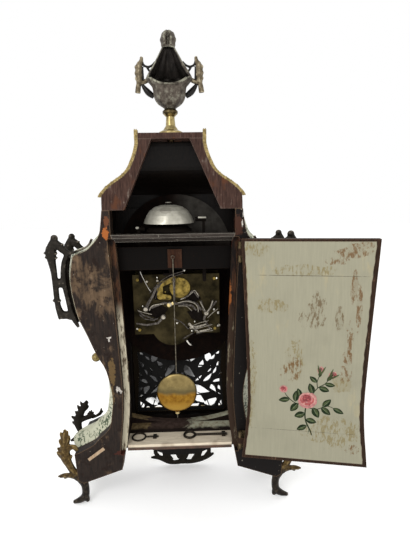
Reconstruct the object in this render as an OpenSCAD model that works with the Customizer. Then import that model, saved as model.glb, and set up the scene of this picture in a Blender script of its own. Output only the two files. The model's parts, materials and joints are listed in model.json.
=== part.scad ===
// Bracket clock in a waisted wooden case, with its rear door open.
// The front of the clock faces -Y, the back faces +Y, and it stands on z = 0.

/* [Case] */
// Depth of the case from its front face to its back face
case_d = 100; // [90:1:115]
// Greatest width of the flared base
base_w = 341; // [320:1:360]
// Width at the waist
waist_w = 207; // [200:1:214]
// Width at the belly
belly_w = 312; // [300:1:324]
// Width at the neck
neck_w = 206; // [200:1:212]
// How far the sides bulge at half depth
side_bulge = 15; // [0:1:20]
// Thickness of the curved side panels
side_t = 7; // [4:0.5:9]
// Thickness of the rear stiles
stile_t = 20; // [18:0.5:24]
// Thickness of the front frame
front_t = 12; // [10:0.5:14]
// Height of the lower outer corner of the case above the ground
block_low_z = 43; // [38:1:48]
// Height of the upper edge of the flared base
base_top_z = 98; // [92:1:104]
// Height of the joint between case and hat
hat_z = 486; // [482:1:490]
// Drop from that joint to the waist
waist_drop = 290; // [282:1:298]
// Drop from that joint to the belly
belly_drop = 105; // [98:1:112]
// Drop from that joint to the shoulder corner
shoulder_drop = 68; // [62:1:74]

/* [Rear opening and floor] */
// Clear width of the rear opening at the waist
open_waist_w = 156; // [148:1:162]
// Clear width of the rear opening at its top
open_top_w = 176; // [172:1:178]
// Drop from the hat joint to the underside of the top rail
rail_drop = 48; // [44:1:52]
// Thickness of the top rail
rail_t = 12; // [8:0.5:14]
// Depth of the top rail
rail_d = 18; // [12:1:24]
// Height of the floor
floor_z = 102; // [98:1:106]
// Thickness of the bottom board
floor_t = 10; // [6:0.5:12]
// Height of the front sill at its ends, above the floor
sill_rise = 16; // [8:1:24]

/* [Rear door] */
// Thickness of the door
door_t = 12; // [8:0.5:14]
// How far the door laps the opening on each side
door_lap = 7.5; // [5:0.5:9]
// Gap round the door in its rebate
door_gap = 1.5; // [1:0.1:2.5]
// Angle at which the door stands open
door_open = 169; // [100:1:175]
// Radius of the hinge knuckles
knuckle_r = 3.2; // [2.6:0.1:4]
// Length of a hinge
hinge_l = 30; // [24:1:40]
// Radius of the hinge pins
pin_r = 1.2; // [0.8:0.1:1.5]

/* [Hat] */
// Height of the hat
hat_h = 107; // [98:1:116]
// Width of the hat at its top
hat_top_w = 92; // [84:1:100]
// How far the front of the hat leans back
hat_setback = 57; // [40:1:60]
// Thickness of the hat's rear frame
hat_back_t = 14; // [10:0.5:18]
// Thickness of the hat's other walls
hat_t = 7; // [5:0.5:9]
// Width of the hat's rear opening at its top
hat_open_top_w = 53; // [46:1:60]
// Width of the hat's rear opening at its foot
hat_open_low_w = 142; // [130:1:150]
// Thickness of the gilt edge trims
trim_t = 5; // [3:0.5:7]

/* [Finial] */
// Height of the finial
finial_h = 139; // [130:1:150]
// Largest radius of the urn
urn_r = 29; // [26:0.5:32]
// Wall of the hollow urn
urn_wall = 2.6; // [2:0.1:3.5]
// Radius of the foot of the pedestal
pedestal_r = 17; // [14:0.5:20]

/* [Movement] */
// Width of the plates
plate_w = 140; // [136:1:146]
// Height of the plates
plate_h = 100; // [98:1:104]
// Thickness of the plates
plate_t = 3; // [2.5:0.1:4]
// Length of the pillars between the plates
pillar_l = 28; // [27:0.5:30]
// Drop from the hat joint to the centre arbor
dial_drop = 151; // [148:1:156]
// Radius of the plain arbors
arbor_r = 1.5; // [1.4:0.1:1.8]
// Running clearance of a pivot in its hole
run_gap = 0.05; // [0.03:0.01:0.09]
// Thickness of the wheels
wheel_t = 1.5; // [1.2:0.1:1.8]
// Thickness of the steel levers
lever_t = 1.2; // [1:0.1:1.5]

/* [Pendulum and bells] */
// Height of the suspension above the centre arbor
pivot_rise = 77; // [74:1:79]
// Radius of the bob
bob_r = 33; // [30:0.5:36]
// Thickness of the bob
bob_t = 16; // [10:0.5:18]
// Height of the middle of the bob above the floor
bob_rise = 85; // [78:1:92]
// Radius of the pendulum rod
rod_r = 0.9; // [0.8:0.05:1.2]
// Radius of the upper bell
bell_r = 39; // [36:0.5:40]
// Height of the upper bell
bell_h = 28; // [24:0.5:30]
// Radius of the lower bell
low_bell_r = 36; // [32:0.5:38]

/* [Front] */
// Radius of the round of the front door
bezel_r = 120; // [118:0.5:123]
// Radius of the dial
dial_r = 98; // [90:0.5:102]
// Radius of the sight opening of the front door
sight_r = 103; // [98:0.5:106]
// Thickness of the front door
front_door_t = 8; // [7.5:0.5:10]
// Thickness of the glass
glass_t = 2; // [1.6:0.1:2.6]
// Thickness of the board that carries the dial
dial_board_t = 4; // [3:0.5:5]

/* [Hidden] */
$fn = 48;

touch = 0.3;          // gap between faces that would rub
eps = 0.01;           // overcut of a hole
base_half = base_w / 2;
waist_half = waist_w / 2;
belly_half = belly_w / 2;
neck_half = neck_w / 2;
waist_z = hat_z - waist_drop;
belly_z = hat_z - belly_drop;
shoulder_z = hat_z - shoulder_drop;
rail_z = hat_z - rail_drop;
dial_z = hat_z - dial_drop;
pivot_z = dial_z + pivot_rise;
bob_z = floor_z + bob_rise;
back_y = case_d / 2;
front_y = -case_d / 2;
stile_y = back_y - stile_t;
frame_y = front_y + front_t;
board_y = frame_y + dial_board_t;
hat_top_z = hat_z + hat_h;
hat_half = neck_half - 0.5;
hat_top_half = hat_top_w / 2;
hat_board_t = 8;      // thickness of the hat's top board
corner_r = 5.5;       // break of the base's upper edge

// Movement planes, from the dial board to the back
dial_foot_l = 3;
front_plate_y = board_y + dial_foot_l;
between_y = front_plate_y + plate_t;
back_plate_y = between_y + pillar_l;
rear_y = back_plate_y + plate_t;
plate_low_z = dial_z - 54;
plate_top_z = plate_low_z + plate_h;
lobe_x = 8;
lobe_r = 34;
lobe_z = plate_low_z + 14;
pivot_r = 1;          // radius of the pivots in the plates
pillar_r = 3;
pillar_in = 8;        // pillars stand this far in from the plates' corners

// Arbor places seen from the rear, as [x, z]
c_center = [0, dial_z];
c_third = [18, dial_z + 17];
c_escape = [3, dial_z + 29];
c_anchor = [3, dial_z + 40];
c_going = [34, dial_z - 19];
c_strike = [-34, dial_z - 19];
c_count = [-6, dial_z + 24];
c_hammer_high = [-46, dial_z + 37];
c_hammer_low = [56, dial_z + 37];
barrel_r = 28;
barrel_wheel_r = 31.6;
mesh_gap = 0.3;       // wheels run clear of their pinions by this
center_wheel_r = 19.8;
third_wheel_r = 14;
escape_r = 8.3;
count_r = 16.8;
center_pinion_r = norm(c_going - c_center) - barrel_wheel_r - mesh_gap;
third_pinion_r = norm(c_third - c_center) - center_wheel_r - mesh_gap;
escape_pinion_r = norm(c_escape - c_third) - third_wheel_r - mesh_gap;
barrel_wheel_y = between_y + 15;
center_wheel_y = between_y + 22;
third_wheel_y = between_y + 18.5;
escape_y = between_y + 11;
barrel_back_gap = 2.5; // barrels start this far behind the front plate

// Levers on the rear of the back plate, as [x, z] points
lever_y1 = rear_y + 2;
lever_y2 = rear_y + 6.4;
post_r = 2;
lifting_path = [[50, dial_z - 9], [44, dial_z + 3], [37, dial_z + 14], [32, dial_z + 25], [24, dial_z + 33]];
rack_hub = [-48, dial_z - 18];
rack_paths = [[[-48, -18], [-43, -11], [-40, 2]], [[-48, -18], [-64, 1]], [[-48, -18], [-44, -28], [-55, -46]]];
warning_hub = [11, dial_z - 3];
warning_paths = [[[11, -3], [20, 0], [40, -8]], [[11, -3], [-1, -2], [-19, 2], [-33, -3], [-39, -13]],
    [[-1, -2], [-25, -6], [-31, -13]]];
stop_hub = [22, dial_z - 23];
stop_path = [[22, -23], [31, -33], [49, -36], [65, -33]];

// Pendulum
pendulum_x = 3;
hook_r = 1.2;         // radius of the suspension pin
eye_w = 2.4;          // width of the eye that hangs on it
nut_r = 4;
nut_h = 3.5;
rod_tail = 12;        // rod below the bob

// Cross board that carries the pendulum
susp_y = rear_y + 17;
rod_gap = 2;          // from the hook block to the pendulum
susp_t = 6;
susp_low_z = pivot_z - 20;
susp_top_z = pivot_z + 16;
susp_half = 105;
block_t = 3;
pendulum_y = susp_y + block_t + rod_gap;

// Bells
bell_x = 8;
bell_y = rear_y + 4;
bell_z = hat_z - 22;
bell_wall = 2;
stand_r = 3;
low_bell_h = 12;
low_bell_z = rail_z + rail_t + 1.5;

// Rear door
hinge_gap = 3;        // from the door's edge to the hinge axis
open_top_half = open_top_w / 2;
open_waist_half = open_waist_w / 2;
open_low_half = open_top_half - 1;
open_waist_z = waist_z + 6;
door_low_z = floor_z - door_lap + 0.5;
door_top_z = rail_z + 5;
door_hx = -(open_top_half + door_lap + hinge_gap);
door_hy = back_y + knuckle_r;
hinge_z1 = door_low_z + 20;
hinge_z2 = door_top_z - 21;
cleat_l = 53;         // height of the clamps at the door's ends
latch_z = dial_z - 42;
latch_in = 12;        // latch spindle inside the door's edge
latch_l = 24;
leaf_t = 1.2;
leaf_w = 14;

// Front door
front_hx = bezel_r + 2.5;
front_hy = front_y - touch - front_door_t;
front_hinge_dz = 20;
door_foot_z = floor_z + 3;
grille_half = 84;
sill_half = 96;
grille_t = 3;

function mix(a, b, t) = a + (b - a) * t;
function spline(a, b, c, d, t) =
    0.5 * ((2 * b) + (c - a) * t + (2 * a - 5 * b + 4 * c - d) * t * t + (3 * b - a - 3 * c + d) * t * t * t);
function smooth(p, n) = concat(
    [for (i = [0:len(p) - 2]) for (k = [0:n - 1])
        spline(p[max(i - 1, 0)], p[i], p[i + 1], p[min(i + 2, len(p) - 1)], k / n)],
    [p[len(p) - 1]]);
function mirrored(p) = [for (q = p) [-q[0], q[1]]];
function reversed(p) = [for (i = [len(p) - 1:-1:0]) p[i]];
function turn(p, a) = [p[0] * cos(a) - p[1] * sin(a), p[0] * sin(a) + p[1] * cos(a)];

// Outline of the case as half widths against height, from the ground corner to the hat
function flare(fx, fz) = [mix(waist_half, base_half - corner_r, fx), mix(base_top_z, waist_z, fz)];
function belly(fx, fz) = [mix(waist_half, belly_half, fx), mix(waist_z, belly_z, fz)];
function shoulder(fx, fz) = [mix(neck_half, belly_half - 6, fx), mix(shoulder_z, hat_z, fz)];
base_edge = [[base_half - 11.5, block_low_z], [base_half - 3, block_low_z + 5], [base_half, base_top_z - 2]];
body_edge = smooth([flare(1, 0), flare(0.59, 0.13), flare(0.43, 0.24), flare(0.14, 0.42), flare(0.05, 0.65),
    [waist_half, waist_z], belly(0.14, 0.23), belly(0.38, 0.37), belly(0.64, 0.56), belly(0.87, 0.73),
    [belly_half, belly_z], shoulder(1, 0)], 3);
shoulder_edge = smooth([shoulder(1, 0), shoulder(0.91, 0.07), shoulder(0.64, 0.13), shoulder(0.47, 0.2),
    shoulder(0.18, 0.41), shoulder(0.08, 0.6), shoulder(0, 1)], 2);
case_edge = concat(base_edge, body_edge, [for (i = [1:len(shoulder_edge) - 1]) shoulder_edge[i]]);

// Outline of the hat in the same way
function hat(fx, fz) = [mix(hat_top_half, hat_half, fx), mix(hat_z, hat_top_z - hat_board_t, fz)];
hat_edge = smooth([hat(1, 0), hat(0.99, 0.19), hat(0.95, 0.235), hat(0.82, 0.32), hat(0.62, 0.405),
    hat(0.41, 0.485), hat(0.235, 0.585), hat(0.14, 0.69), hat(0.06, 0.8), hat(0, 0.93), hat(0, 1)], 2);
function hat_front_y(x) = front_y + hat_setback * (hat_half - x) / (hat_half - hat_top_half);

// Half width of the rear opening at a height
function open_half(z) = z > open_waist_z
    ? open_waist_half + (open_top_half - open_waist_half) * pow((z - open_waist_z) / (rail_z - open_waist_z), 1.2)
    : open_waist_half + (open_low_half - open_waist_half) * pow((open_waist_z - z) / (open_waist_z - floor_z), 1.7);
open_steps = 12;
open_edge = [for (i = [0:open_steps]) let (z = mix(floor_z, rail_z, i / open_steps)) [open_half(z), z]];
function lap_edge(z0, z1, lap, n) = [for (i = [0:n]) let (z = mix(z0, z1, i / n))
    [open_half(min(max(z, floor_z), rail_z)) + lap, z]];

// A flat profile drawn in X and Z, made solid between two planes of Y
module slab(y0, y1) {
    translate([0, y1, 0]) rotate([90, 0, 0]) linear_extrude(y1 - y0) children();
}

// A rod along Y
module rod_y(c, r, y0, y1) {
    translate([c[0], y0, c[1]]) rotate([-90, 0, 0]) cylinder(r = r, h = y1 - y0);
}

// A round-ended tapered bar in the flat
bar_in = 0.04;        // keeps its straight sides from only grazing its round ends
module bar2d(p, q, w0, w1) {
    n = [p[1] - q[1], q[0] - p[0]] / norm(q - p);
    a = n * (w0 / 2 - bar_in);
    b = n * (w1 / 2 - bar_in);
    translate(p) circle(d = w0);
    translate(q) circle(d = w1);
    polygon([p + a, p - a, q - b, q + b]);
}

// A chain of such bars
module path2d(pts, w0, w1) {
    last = len(pts) - 1;
    for (i = [0:last - 1])
        bar2d(pts[i], pts[i + 1], mix(w0, w1, i / last), mix(w0, w1, (i + 1) / last));
}

// A solid through rings of equal length, the end rings being flat
module loft(rings) {
    n = len(rings[0]);
    m = len(rings);
    polyhedron(
        points = [for (r = rings) for (p = r) p],
        faces = concat([[for (i = [0:n - 1]) i]], [[for (i = [n - 1:-1:0]) (m - 1) * n + i]],
            [for (j = [0:m - 2]) for (i = [0:n - 1]) [j * n + i, (j + 1) * n + i, j * n + (i + 1) % n]],
            [for (j = [0:m - 2]) for (i = [0:n - 1])
                [j * n + (i + 1) % n, (j + 1) * n + i, (j + 1) * n + (i + 1) % n]]));
}

// A toothed disc whose teeth are cut inward from its rim
module wheel2d(r, teeth, depth) {
    polygon([for (i = [0:teeth - 1]) for (k = [[0, r], [0.45, r], [0.55, r - depth], [0.95, r - depth]])
        let (a = 360 * (i + k[0]) / teeth) k[1] * [cos(a), sin(a)]]);
}

module spoked2d(r, teeth, depth, hub, spokes) {
    difference() {
        wheel2d(r, teeth, depth);
        circle(r = r - depth - 2);
    }
    difference() {
        union() {
            circle(r = hub);
            for (i = [0:spokes - 1]) rotate(i * 360 / spokes)
                translate([0, -1]) square([r - depth - 1.5, 2]);
        }
        circle(r = arbor_r - 0.4);
    }
}

// Half of the case seen from behind
module case_half2d() {
    polygon(concat([[0, block_low_z]], case_edge, [[0, hat_z]]));
}

module stile2d() {
    polygon(concat([[open_top_half + 6.5, base_top_z - 32]], case_edge,
        [[open_top_half + 3.6, hat_z], [open_top_half + 3.6, rail_z + rail_t]],
        reversed(open_edge), [[open_top_half + 2, floor_z - floor_t]]));
}

module door2d(grow) {
    right = lap_edge(door_low_z - grow, door_top_z + grow, door_lap + grow, 14);
    polygon(concat(right, mirrored(reversed(right))));
}

module back_stile() {
    difference() {
        slab(stile_y, back_y) stile2d();
        slab(back_y - door_t - touch, back_y + 1) door2d(door_gap);
    }
}

module back_stile_left() {
    color("#3a2a20") back_stile();
}

module back_stile_right() {
    color("#3a2a20") mirror([1, 0, 0]) back_stile();
}

// Narrow rail between the stiles, over the door
module back_rail() {
    low = open_top_half;
    top = open_top_half + 3.6;
    color("#4a4038") difference() {
        slab(back_y - rail_d, back_y)
            polygon([[-low, rail_z], [low, rail_z], [top, rail_z + rail_t], [-top, rail_z + rail_t]]);
        slab(back_y - door_t - touch, back_y + 1) door2d(door_gap);
    }
}

module bottom_board() {
    wide = base_half - side_t - 12;
    color("#b9a88e") {
        translate([-wide, frame_y, floor_z - floor_t]) cube([2 * wide, stile_y - frame_y, floor_t]);
        translate([0, 0, floor_z - floor_t]) linear_extrude(floor_t)
            polygon([[-open_low_half + 1, stile_y], [open_low_half - 1, stile_y],
                [open_low_half - 1, back_y - door_t - touch], [-open_low_half + 1, back_y - door_t - touch]]);
    }
}

// Side linings of the pendulum box, and the shaped sill with its slope behind the front frame
liner_t = 4;
liner_top_z = 223;
sill_t = 14;
sill_mid = 2;         // height of the sill over the floor at its middle
slope_d = 27;
module base_linings() {
    sill = [for (i = [-6:6]) let (x = i / 6 * (open_low_half + liner_t)) [x, floor_z + sill_mid
        + (sill_rise - sill_mid) * pow(i / 6, 2)]];
    color("#5b4330") {
        slab(frame_y, frame_y + sill_t) polygon(concat([[open_low_half + liner_t, floor_z]],
            reversed(sill), [[-open_low_half - liner_t, floor_z]]));
        for (s = [-1, 1]) slab(frame_y + sill_t, stile_y) polygon([
            [s * open_low_half, floor_z], [s * (open_low_half + liner_t), floor_z],
            [s * (open_low_half + liner_t), liner_top_z], [s * open_low_half, liner_top_z]]);
        slope_y = frame_y + sill_t;
        translate([-open_low_half, 0, 0]) rotate([90, 0, 90]) linear_extrude(2 * open_low_half)
            polygon([[slope_y, floor_z], [slope_y + slope_d, floor_z], [slope_y, floor_z + sill_mid + 1]]);
    }
}

// Curved side with the bulge at half depth
panel_steps = 8;
function bulge(z) = side_bulge * (z < shoulder_z ? 1 : 1 - 0.8 * (z - shoulder_z) / (hat_z - shoulder_z));
module side_panel() {
    loft([for (q = case_edge) concat(
        [for (j = [0:panel_steps]) let (t = j / panel_steps)
            [q[0] + bulge(q[1]) * sin(180 * t), mix(frame_y, stile_y, t), q[1]]],
        [for (j = [panel_steps:-1:0]) let (t = j / panel_steps)
            [q[0] - side_t + bulge(q[1]) * sin(180 * t), mix(frame_y, stile_y, t), q[1]]])]);
}

module side_panel_left() {
    color("#4b3a2c") side_panel();
}

module side_panel_right() {
    color("#4b3a2c") mirror([1, 0, 0]) side_panel();
}

apron_low_z = 30;
frame_hole_r = sight_r + 5;
module front_frame() {
    low = [[base_half - 11.5, block_low_z], [base_half * 0.65, block_low_z + 12],
        [base_half * 0.41, block_low_z + 4], [base_half * 0.15, apron_low_z]];
    color("#3f2f25") difference() {
        slab(front_y, frame_y) polygon(concat(reversed(low), case_edge, reversed(mirrored(case_edge)),
            mirrored(low)));
        rod_y(c_center, frame_hole_r, front_y - 1, frame_y + 1);
        slab(front_y - 1, frame_y + 1) polygon([[-grille_half, door_foot_z + 6], [grille_half, door_foot_z + 6],
            [grille_half, dial_z - 40], [-grille_half, dial_z - 40]]);
    }
}

// Glue blocks under the floor, which take the screws of the feet
corner_block = [36, 20, 38];
module corner_blocks() {
    low = floor_z - floor_t - corner_block[2];
    x0 = base_half - 62;
    color("#6b5038") for (s = [0, 1]) mirror([s, 0, 0]) {
        translate([x0, stile_y - corner_block[1], low]) cube(corner_block);
        translate([x0, frame_y, low]) cube(corner_block);
    }
}

// Cross board behind the movement, on cleats against the stiles
module suspension_board() {
    color("#3b2a20") {
        slab(susp_y - susp_t, susp_y) polygon([[-susp_half, susp_low_z], [susp_half, susp_low_z],
            [susp_half, susp_top_z], [-susp_half, susp_top_z]]);
        for (s = [-1, 1]) slab(susp_y, stile_y) polygon([[s * (open_top_half + 1), susp_low_z],
            [s * susp_half, susp_low_z], [s * susp_half, susp_top_z], [s * (open_top_half + 1), susp_top_z]]);
    }
}

// Reddish block and the pin on which the pendulum hangs
module suspension_block() {
    c = [pendulum_x, pivot_z];
    color("#6e3b2a") difference() {
        slab(susp_y, susp_y + block_t) polygon([[pendulum_x - 14, susp_low_z + 3],
            [pendulum_x + 8, susp_low_z + 3], [pendulum_x + 8, susp_top_z - 4], [pendulum_x - 14, susp_top_z - 4]]);
        rod_y(c, hook_r, susp_y - 1, susp_y + block_t + 1);
    }
    color("#b9954a") {
        rod_y(c, hook_r, susp_y, pendulum_y + eye_w / 2 + touch);
        rod_y(c, hook_r + 1.6, susp_y + block_t, pendulum_y - eye_w / 2 - touch);
        rod_y(c, hook_r + 1, pendulum_y + eye_w / 2 + touch, pendulum_y + eye_w / 2 + touch + 1);
    }
}

// Board that carries the dial, with an arch that stands up into the hat
arch_r = 92;
arch_top_z = hat_z + 22;
module dial_board() {
    color("#3c3732") slab(frame_y, board_y) difference() {
        union() {
            translate(c_center) circle(r = frame_hole_r + 9);
            intersection() {
                translate([0, arch_top_z - arch_r]) circle(r = arch_r);
                translate([-arch_r, dial_z]) square([2 * arch_r, arch_top_z - dial_z]);
            }
        }
        translate(c_center) circle(r = 5);
        for (c = [c_going, c_strike]) translate(c) circle(r = 5);
    }
}

module hat_back_frame() {
    top_z = hat_top_z - hat_board_t;
    color("#5a463e") slab(back_y - hat_back_t, back_y) difference() {
        polygon(concat(hat_edge, mirrored(reversed(hat_edge))));
        polygon([[-hat_open_low_w / 2, hat_z - 1], [hat_open_low_w / 2, hat_z - 1],
            [hat_open_top_w / 2, top_z + 1], [-hat_open_top_w / 2, top_z + 1]]);
    }
}

module hat_sides() {
    color("#4b3a2c") for (s = [0, 1]) mirror([s, 0, 0])
        loft([for (q = hat_edge) [[q[0], hat_front_y(q[0]) + hat_t, q[1]], [q[0], back_y - hat_back_t, q[1]],
            [q[0] - hat_t, back_y - hat_back_t, q[1]], [q[0] - hat_t, hat_front_y(q[0]) + hat_t, q[1]]]]);
}

module hat_front() {
    color("#4b3a2c")
        loft([for (q = hat_edge) [[-q[0], hat_front_y(q[0]), q[1]], [q[0], hat_front_y(q[0]), q[1]],
            [q[0], hat_front_y(q[0]) + hat_t, q[1]], [-q[0], hat_front_y(q[0]) + hat_t, q[1]]]]);
}

finial_y = (back_y + hat_front_y(hat_top_half)) / 2;
module hat_top_board() {
    y0 = hat_front_y(hat_top_half);
    color("#5a3a30") difference() {
        translate([-hat_top_half, y0, hat_top_z - hat_board_t]) cube([hat_top_w, back_y - y0, hat_board_t]);
        translate([0, finial_y, hat_top_z - hat_board_t - 1]) cylinder(r = 2, h = hat_board_t + 2);
    }
}

// Gilt strips along the four edges of the hat
trim_w = 9;
module hat_trims() {
    function strip(q, y0, y1) = [[q[0], y0, q[1]], [q[0] + trim_t, y0, q[1]], [q[0] + trim_t, y1, q[1]],
        [q[0], y1, q[1]]];
    edge = concat([for (i = [2:len(hat_edge) - 1]) hat_edge[i]], [[hat_top_half, hat_top_z + 4]]);
    color("#b79a52") for (s = [0, 1]) mirror([s, 0, 0]) {
        loft([for (q = edge) strip(q, back_y - trim_w, back_y)]);
        loft([for (q = edge) strip(q, hat_front_y(q[0]), hat_front_y(q[0]) + trim_w)]);
    }
}

// Openwork bronze mount on a shoulder corner
mount_w = 12;
mount_out = belly_half + 34;   // reach of the mount from the middle of the case
module corner_mount2d() {
    difference() {
        union() {
            path2d([[mount_out - 16, shoulder_z + 34], [mount_out - 4, shoulder_z + 21],
                [mount_out - 3, shoulder_z + 4], [mount_out - 7, shoulder_z - 32],
                [mount_out - 10, shoulder_z - 62], [mount_out - 14, shoulder_z - 92]], 8, 7);
            path2d([[mount_out - 16, shoulder_z + 34], [mount_out - 27, shoulder_z + 14],
                [mount_out - 22, shoulder_z - 12], [mount_out - 19, shoulder_z - 40],
                [mount_out - 30, shoulder_z - 68], [mount_out - 34, shoulder_z - 92],
                [mount_out - 43, shoulder_z - 110]], 8, 7);
            path2d([[mount_out - 19, shoulder_z - 40], [mount_out - 9, shoulder_z - 40]], 10, 8);
            path2d([[mount_out - 14, shoulder_z - 92], [mount_out - 30, shoulder_z - 94]], 9, 9);
            path2d([[mount_out - 22, shoulder_z - 12], [mount_out - 36, shoulder_z - 20],
                [mount_out - 34, shoulder_z - 44]], 9, 7);
            path2d([[mount_out - 27, shoulder_z + 14], [belly_half - 16, shoulder_z + 9],
                [belly_half - 30, shoulder_z + 18], [belly_half - 44, shoulder_z + 34]], 9, 5);
        }
        case_half2d();
    }
}

module corner_mounts() {
    color("#6a5433") for (s = [0, 1]) mirror([s, 0, 0]) {
        slab(back_y - touch - mount_w, back_y - touch) corner_mount2d();
        slab(front_y, front_y + mount_w) corner_mount2d();
    }
}

// Scrolled foot with an acanthus leaf
foot_w = 18;
foot_x = base_half - 11.5;     // lower corner of the case, on which the foot is screwed
module foot2d() {
    difference() {
        union() {
            path2d([[foot_x + 22, 4.5], [foot_x + 14, 9.5], [foot_x + 5, 11], [foot_x, 17], [foot_x + 2, 30],
                [foot_x + 8, 44], [foot_x + 17, 57]], 12, 17);
            path2d([[foot_x + 17, 57], [foot_x + 27, 78], [foot_x + 30, 100], [foot_x + 27, 132]], 13, 18);
            path2d([[foot_x + 17, 57], [foot_x + 29, 55], [foot_x + 41, 52]], 9, 5);
            path2d([[foot_x + 30, 96], [foot_x + 39, 106]], 14, 7);
            path2d([[foot_x + 24, 112], [foot_x + 13, 106]], 12, 6);
        }
        case_half2d();
        translate([0, -20]) square([base_w, 20]);
    }
}

module feet_back() {
    color("#6a5433") for (s = [0, 1]) mirror([s, 0, 0]) slab(back_y - foot_w, back_y) foot2d();
}

module feet_front() {
    color("#6a5433") for (s = [0, 1]) mirror([s, 0, 0]) slab(frame_y - foot_w, frame_y) foot2d();
}

// Bronze ornament hanging under the front of the base
mount_t = 4;
module apron_mount() {
    wide = 54;
    color("#3d3223") slab(front_y - mount_t, front_y) difference() {
        union() {
            path2d([[-wide, apron_low_z + 4], [-wide * 0.6, apron_low_z - 6], [0, apron_low_z - 14],
                [wide * 0.6, apron_low_z - 6], [wide, apron_low_z + 4]], 12, 12);
            polygon([[-wide * 0.7, apron_low_z + 24], [wide * 0.7, apron_low_z + 24],
                [wide * 0.5, apron_low_z - 8], [0, apron_low_z - 22], [-wide * 0.5, apron_low_z - 8]]);
        }
        for (s = [-1, 1]) translate([s * wide * 0.38, apron_low_z + 6]) circle(r = 7);
    }
}

// Turned brass knobs on the sides, at the waist
rosette_r = 7.5;
rosette_z = waist_z + 46;
module side_rosettes() {
    x = lookup(rosette_z + 3, [for (q = case_edge) [q[1], q[0]]]) + side_bulge * 0.97 + touch;
    color("#c09b45") for (s = [0, 1]) mirror([s, 0, 0]) {
        translate([x, 0, rosette_z]) rotate([0, 90, 0]) cylinder(r = 3, h = rosette_r);
        translate([x + rosette_r + 1.5, 0, rosette_z]) sphere(r = rosette_r);
    }
}

pedestal_h = 35;
module finial_pedestal() {
    color("#c7a355") translate([0, finial_y, hat_top_z]) {
        rotate_extrude() polygon([[0, 0], [pedestal_r, 0], [pedestal_r, 3], [11, 6], [7, 12], [6, 24], [9, 27],
            [11, 29], [11, 32], [8, pedestal_h], [0, pedestal_h]]);
        translate([0, 0, -hat_board_t - 3]) cylinder(r = 1.9, h = hat_board_t + 4);
        translate([0, 0, -hat_board_t - 3]) cylinder(r = 5, h = 3);
    }
}

// Half urn, cast hollow and open at the back
urn_z = hat_top_z + pedestal_h;
module finial_urn() {
    k = urn_r / 29;
    hs = (finial_h - pedestal_h) / 104;
    outer = [[7 * k, 0], [12 * k, 3], [19 * k, 10], [23 * k, 20], [25 * k, 30], [26 * k, 37], [urn_r, 42], [urn_r, 48],
        [27 * k, 56], [22 * k, 66], [17 * k, 75], [12 * k, 82], [10 * k, 85], [12 * k, 90], [12.5 * k, 97],
        [10 * k, 101.5], [4 * k, 104]];
    inner = [for (q = outer) [max(q[0] - urn_wall, 0.6), q[1]]];
    color("#4c4a45") translate([0, finial_y, urn_z]) {
        rotate_extrude(angle = -180) polygon([for (q = concat(outer, reversed(inner))) [q[0], q[1] * hs]]);
    }
}

module finial_handles() {
    z = urn_z;
    r = urn_r;
    color("#8a7440") for (s = [0, 1]) mirror([s, 0, 0]) slab(finial_y - 10, finial_y - 3) {
        path2d([[r + 17, z + 25], [r + 16, z + 48], [r + 15, z + 68]], 7, 9);
        path2d([[r + 13, z + 70], [r + 11, z + 78]], 5, 3);
        path2d([[r + 12, z + 68], [r + 4, z + 57], [r + 1.6, z + 48]], 4, 4);
        path2d([[r + 13, z + 38], [r + 4, z + 28], [r + 0.8, z + 24]], 6, 5);
    }
}

// Bowed outline shared by the front door's pieces
module front_door2d() {
    translate(c_center) circle(r = bezel_r, $fn = 96);
    polygon([[-sill_half, door_foot_z], [sill_half, door_foot_z], [sill_half - 8, waist_z],
        [sill_half, dial_z - 60], [-sill_half, dial_z - 60], [-sill_half + 8, waist_z]]);
}

rebate_w = 4;         // seat of the glass round the sight opening
module waist_sight2d(grow) {
    half = grille_half - 8 + grow;
    polygon([[-half, door_foot_z + 12 - grow], [half, door_foot_z + 12 - grow], [half - 6, waist_z],
        [half - 4, dial_z - 109 + grow], [4 - half, dial_z - 109 + grow], [6 - half, waist_z]]);
}

front_door_y = front_y - touch;
module front_door_frame() {
    color("#b08d45") difference() {
        slab(front_door_y - front_door_t, front_door_y) front_door2d();
        slab(front_door_y - front_door_t - 1, front_door_y + 1) waist_sight2d(0);
        rod_y(c_center, sight_r, front_door_y - front_door_t - 1, front_door_y + 1);
        rod_y(c_center, sight_r + rebate_w + 0.1, front_door_y - 2 - glass_t, front_door_y + 1);
        slab(front_door_y - 2 - glass_t, front_door_y + 1) waist_sight2d(rebate_w + 0.1);
    }
    color("#b08d45") for (dz = [-front_hinge_dz, front_hinge_dz]) difference() {
        union() {
            translate([front_hx, front_hy, dial_z + dz - 6]) cylinder(r = knuckle_r - 0.7, h = 5.8);
            translate([front_hx - 6, front_hy - 1, dial_z + dz - 6]) cube([6, 2, 5.8]);
        }
        translate([front_hx, front_hy, dial_z + dz - 7]) cylinder(r = pin_r + run_gap, h = 8);
        rod_y(c_center, bezel_r, front_hy - 3, front_hy + 3);
    }
}

// Round glass over the dial and a shaped one over the pendulum
module front_door_glass() {
    y0 = front_door_y - 2 - glass_t;
    color("#cfd8d6") {
        rod_y(c_center, sight_r + rebate_w, y0, y0 + glass_t);
        slab(y0, y0 + glass_t) difference() {
            waist_sight2d(rebate_w);
            translate(c_center) circle(r = sight_r + rebate_w + 0.5);
        }
    }
}

// A point of the scrolls as shares of the lower opening's half width and height
function scroll(fx, fz) = [fx * grille_half, mix(door_foot_z + 7, dial_z - 103, fz)];

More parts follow.
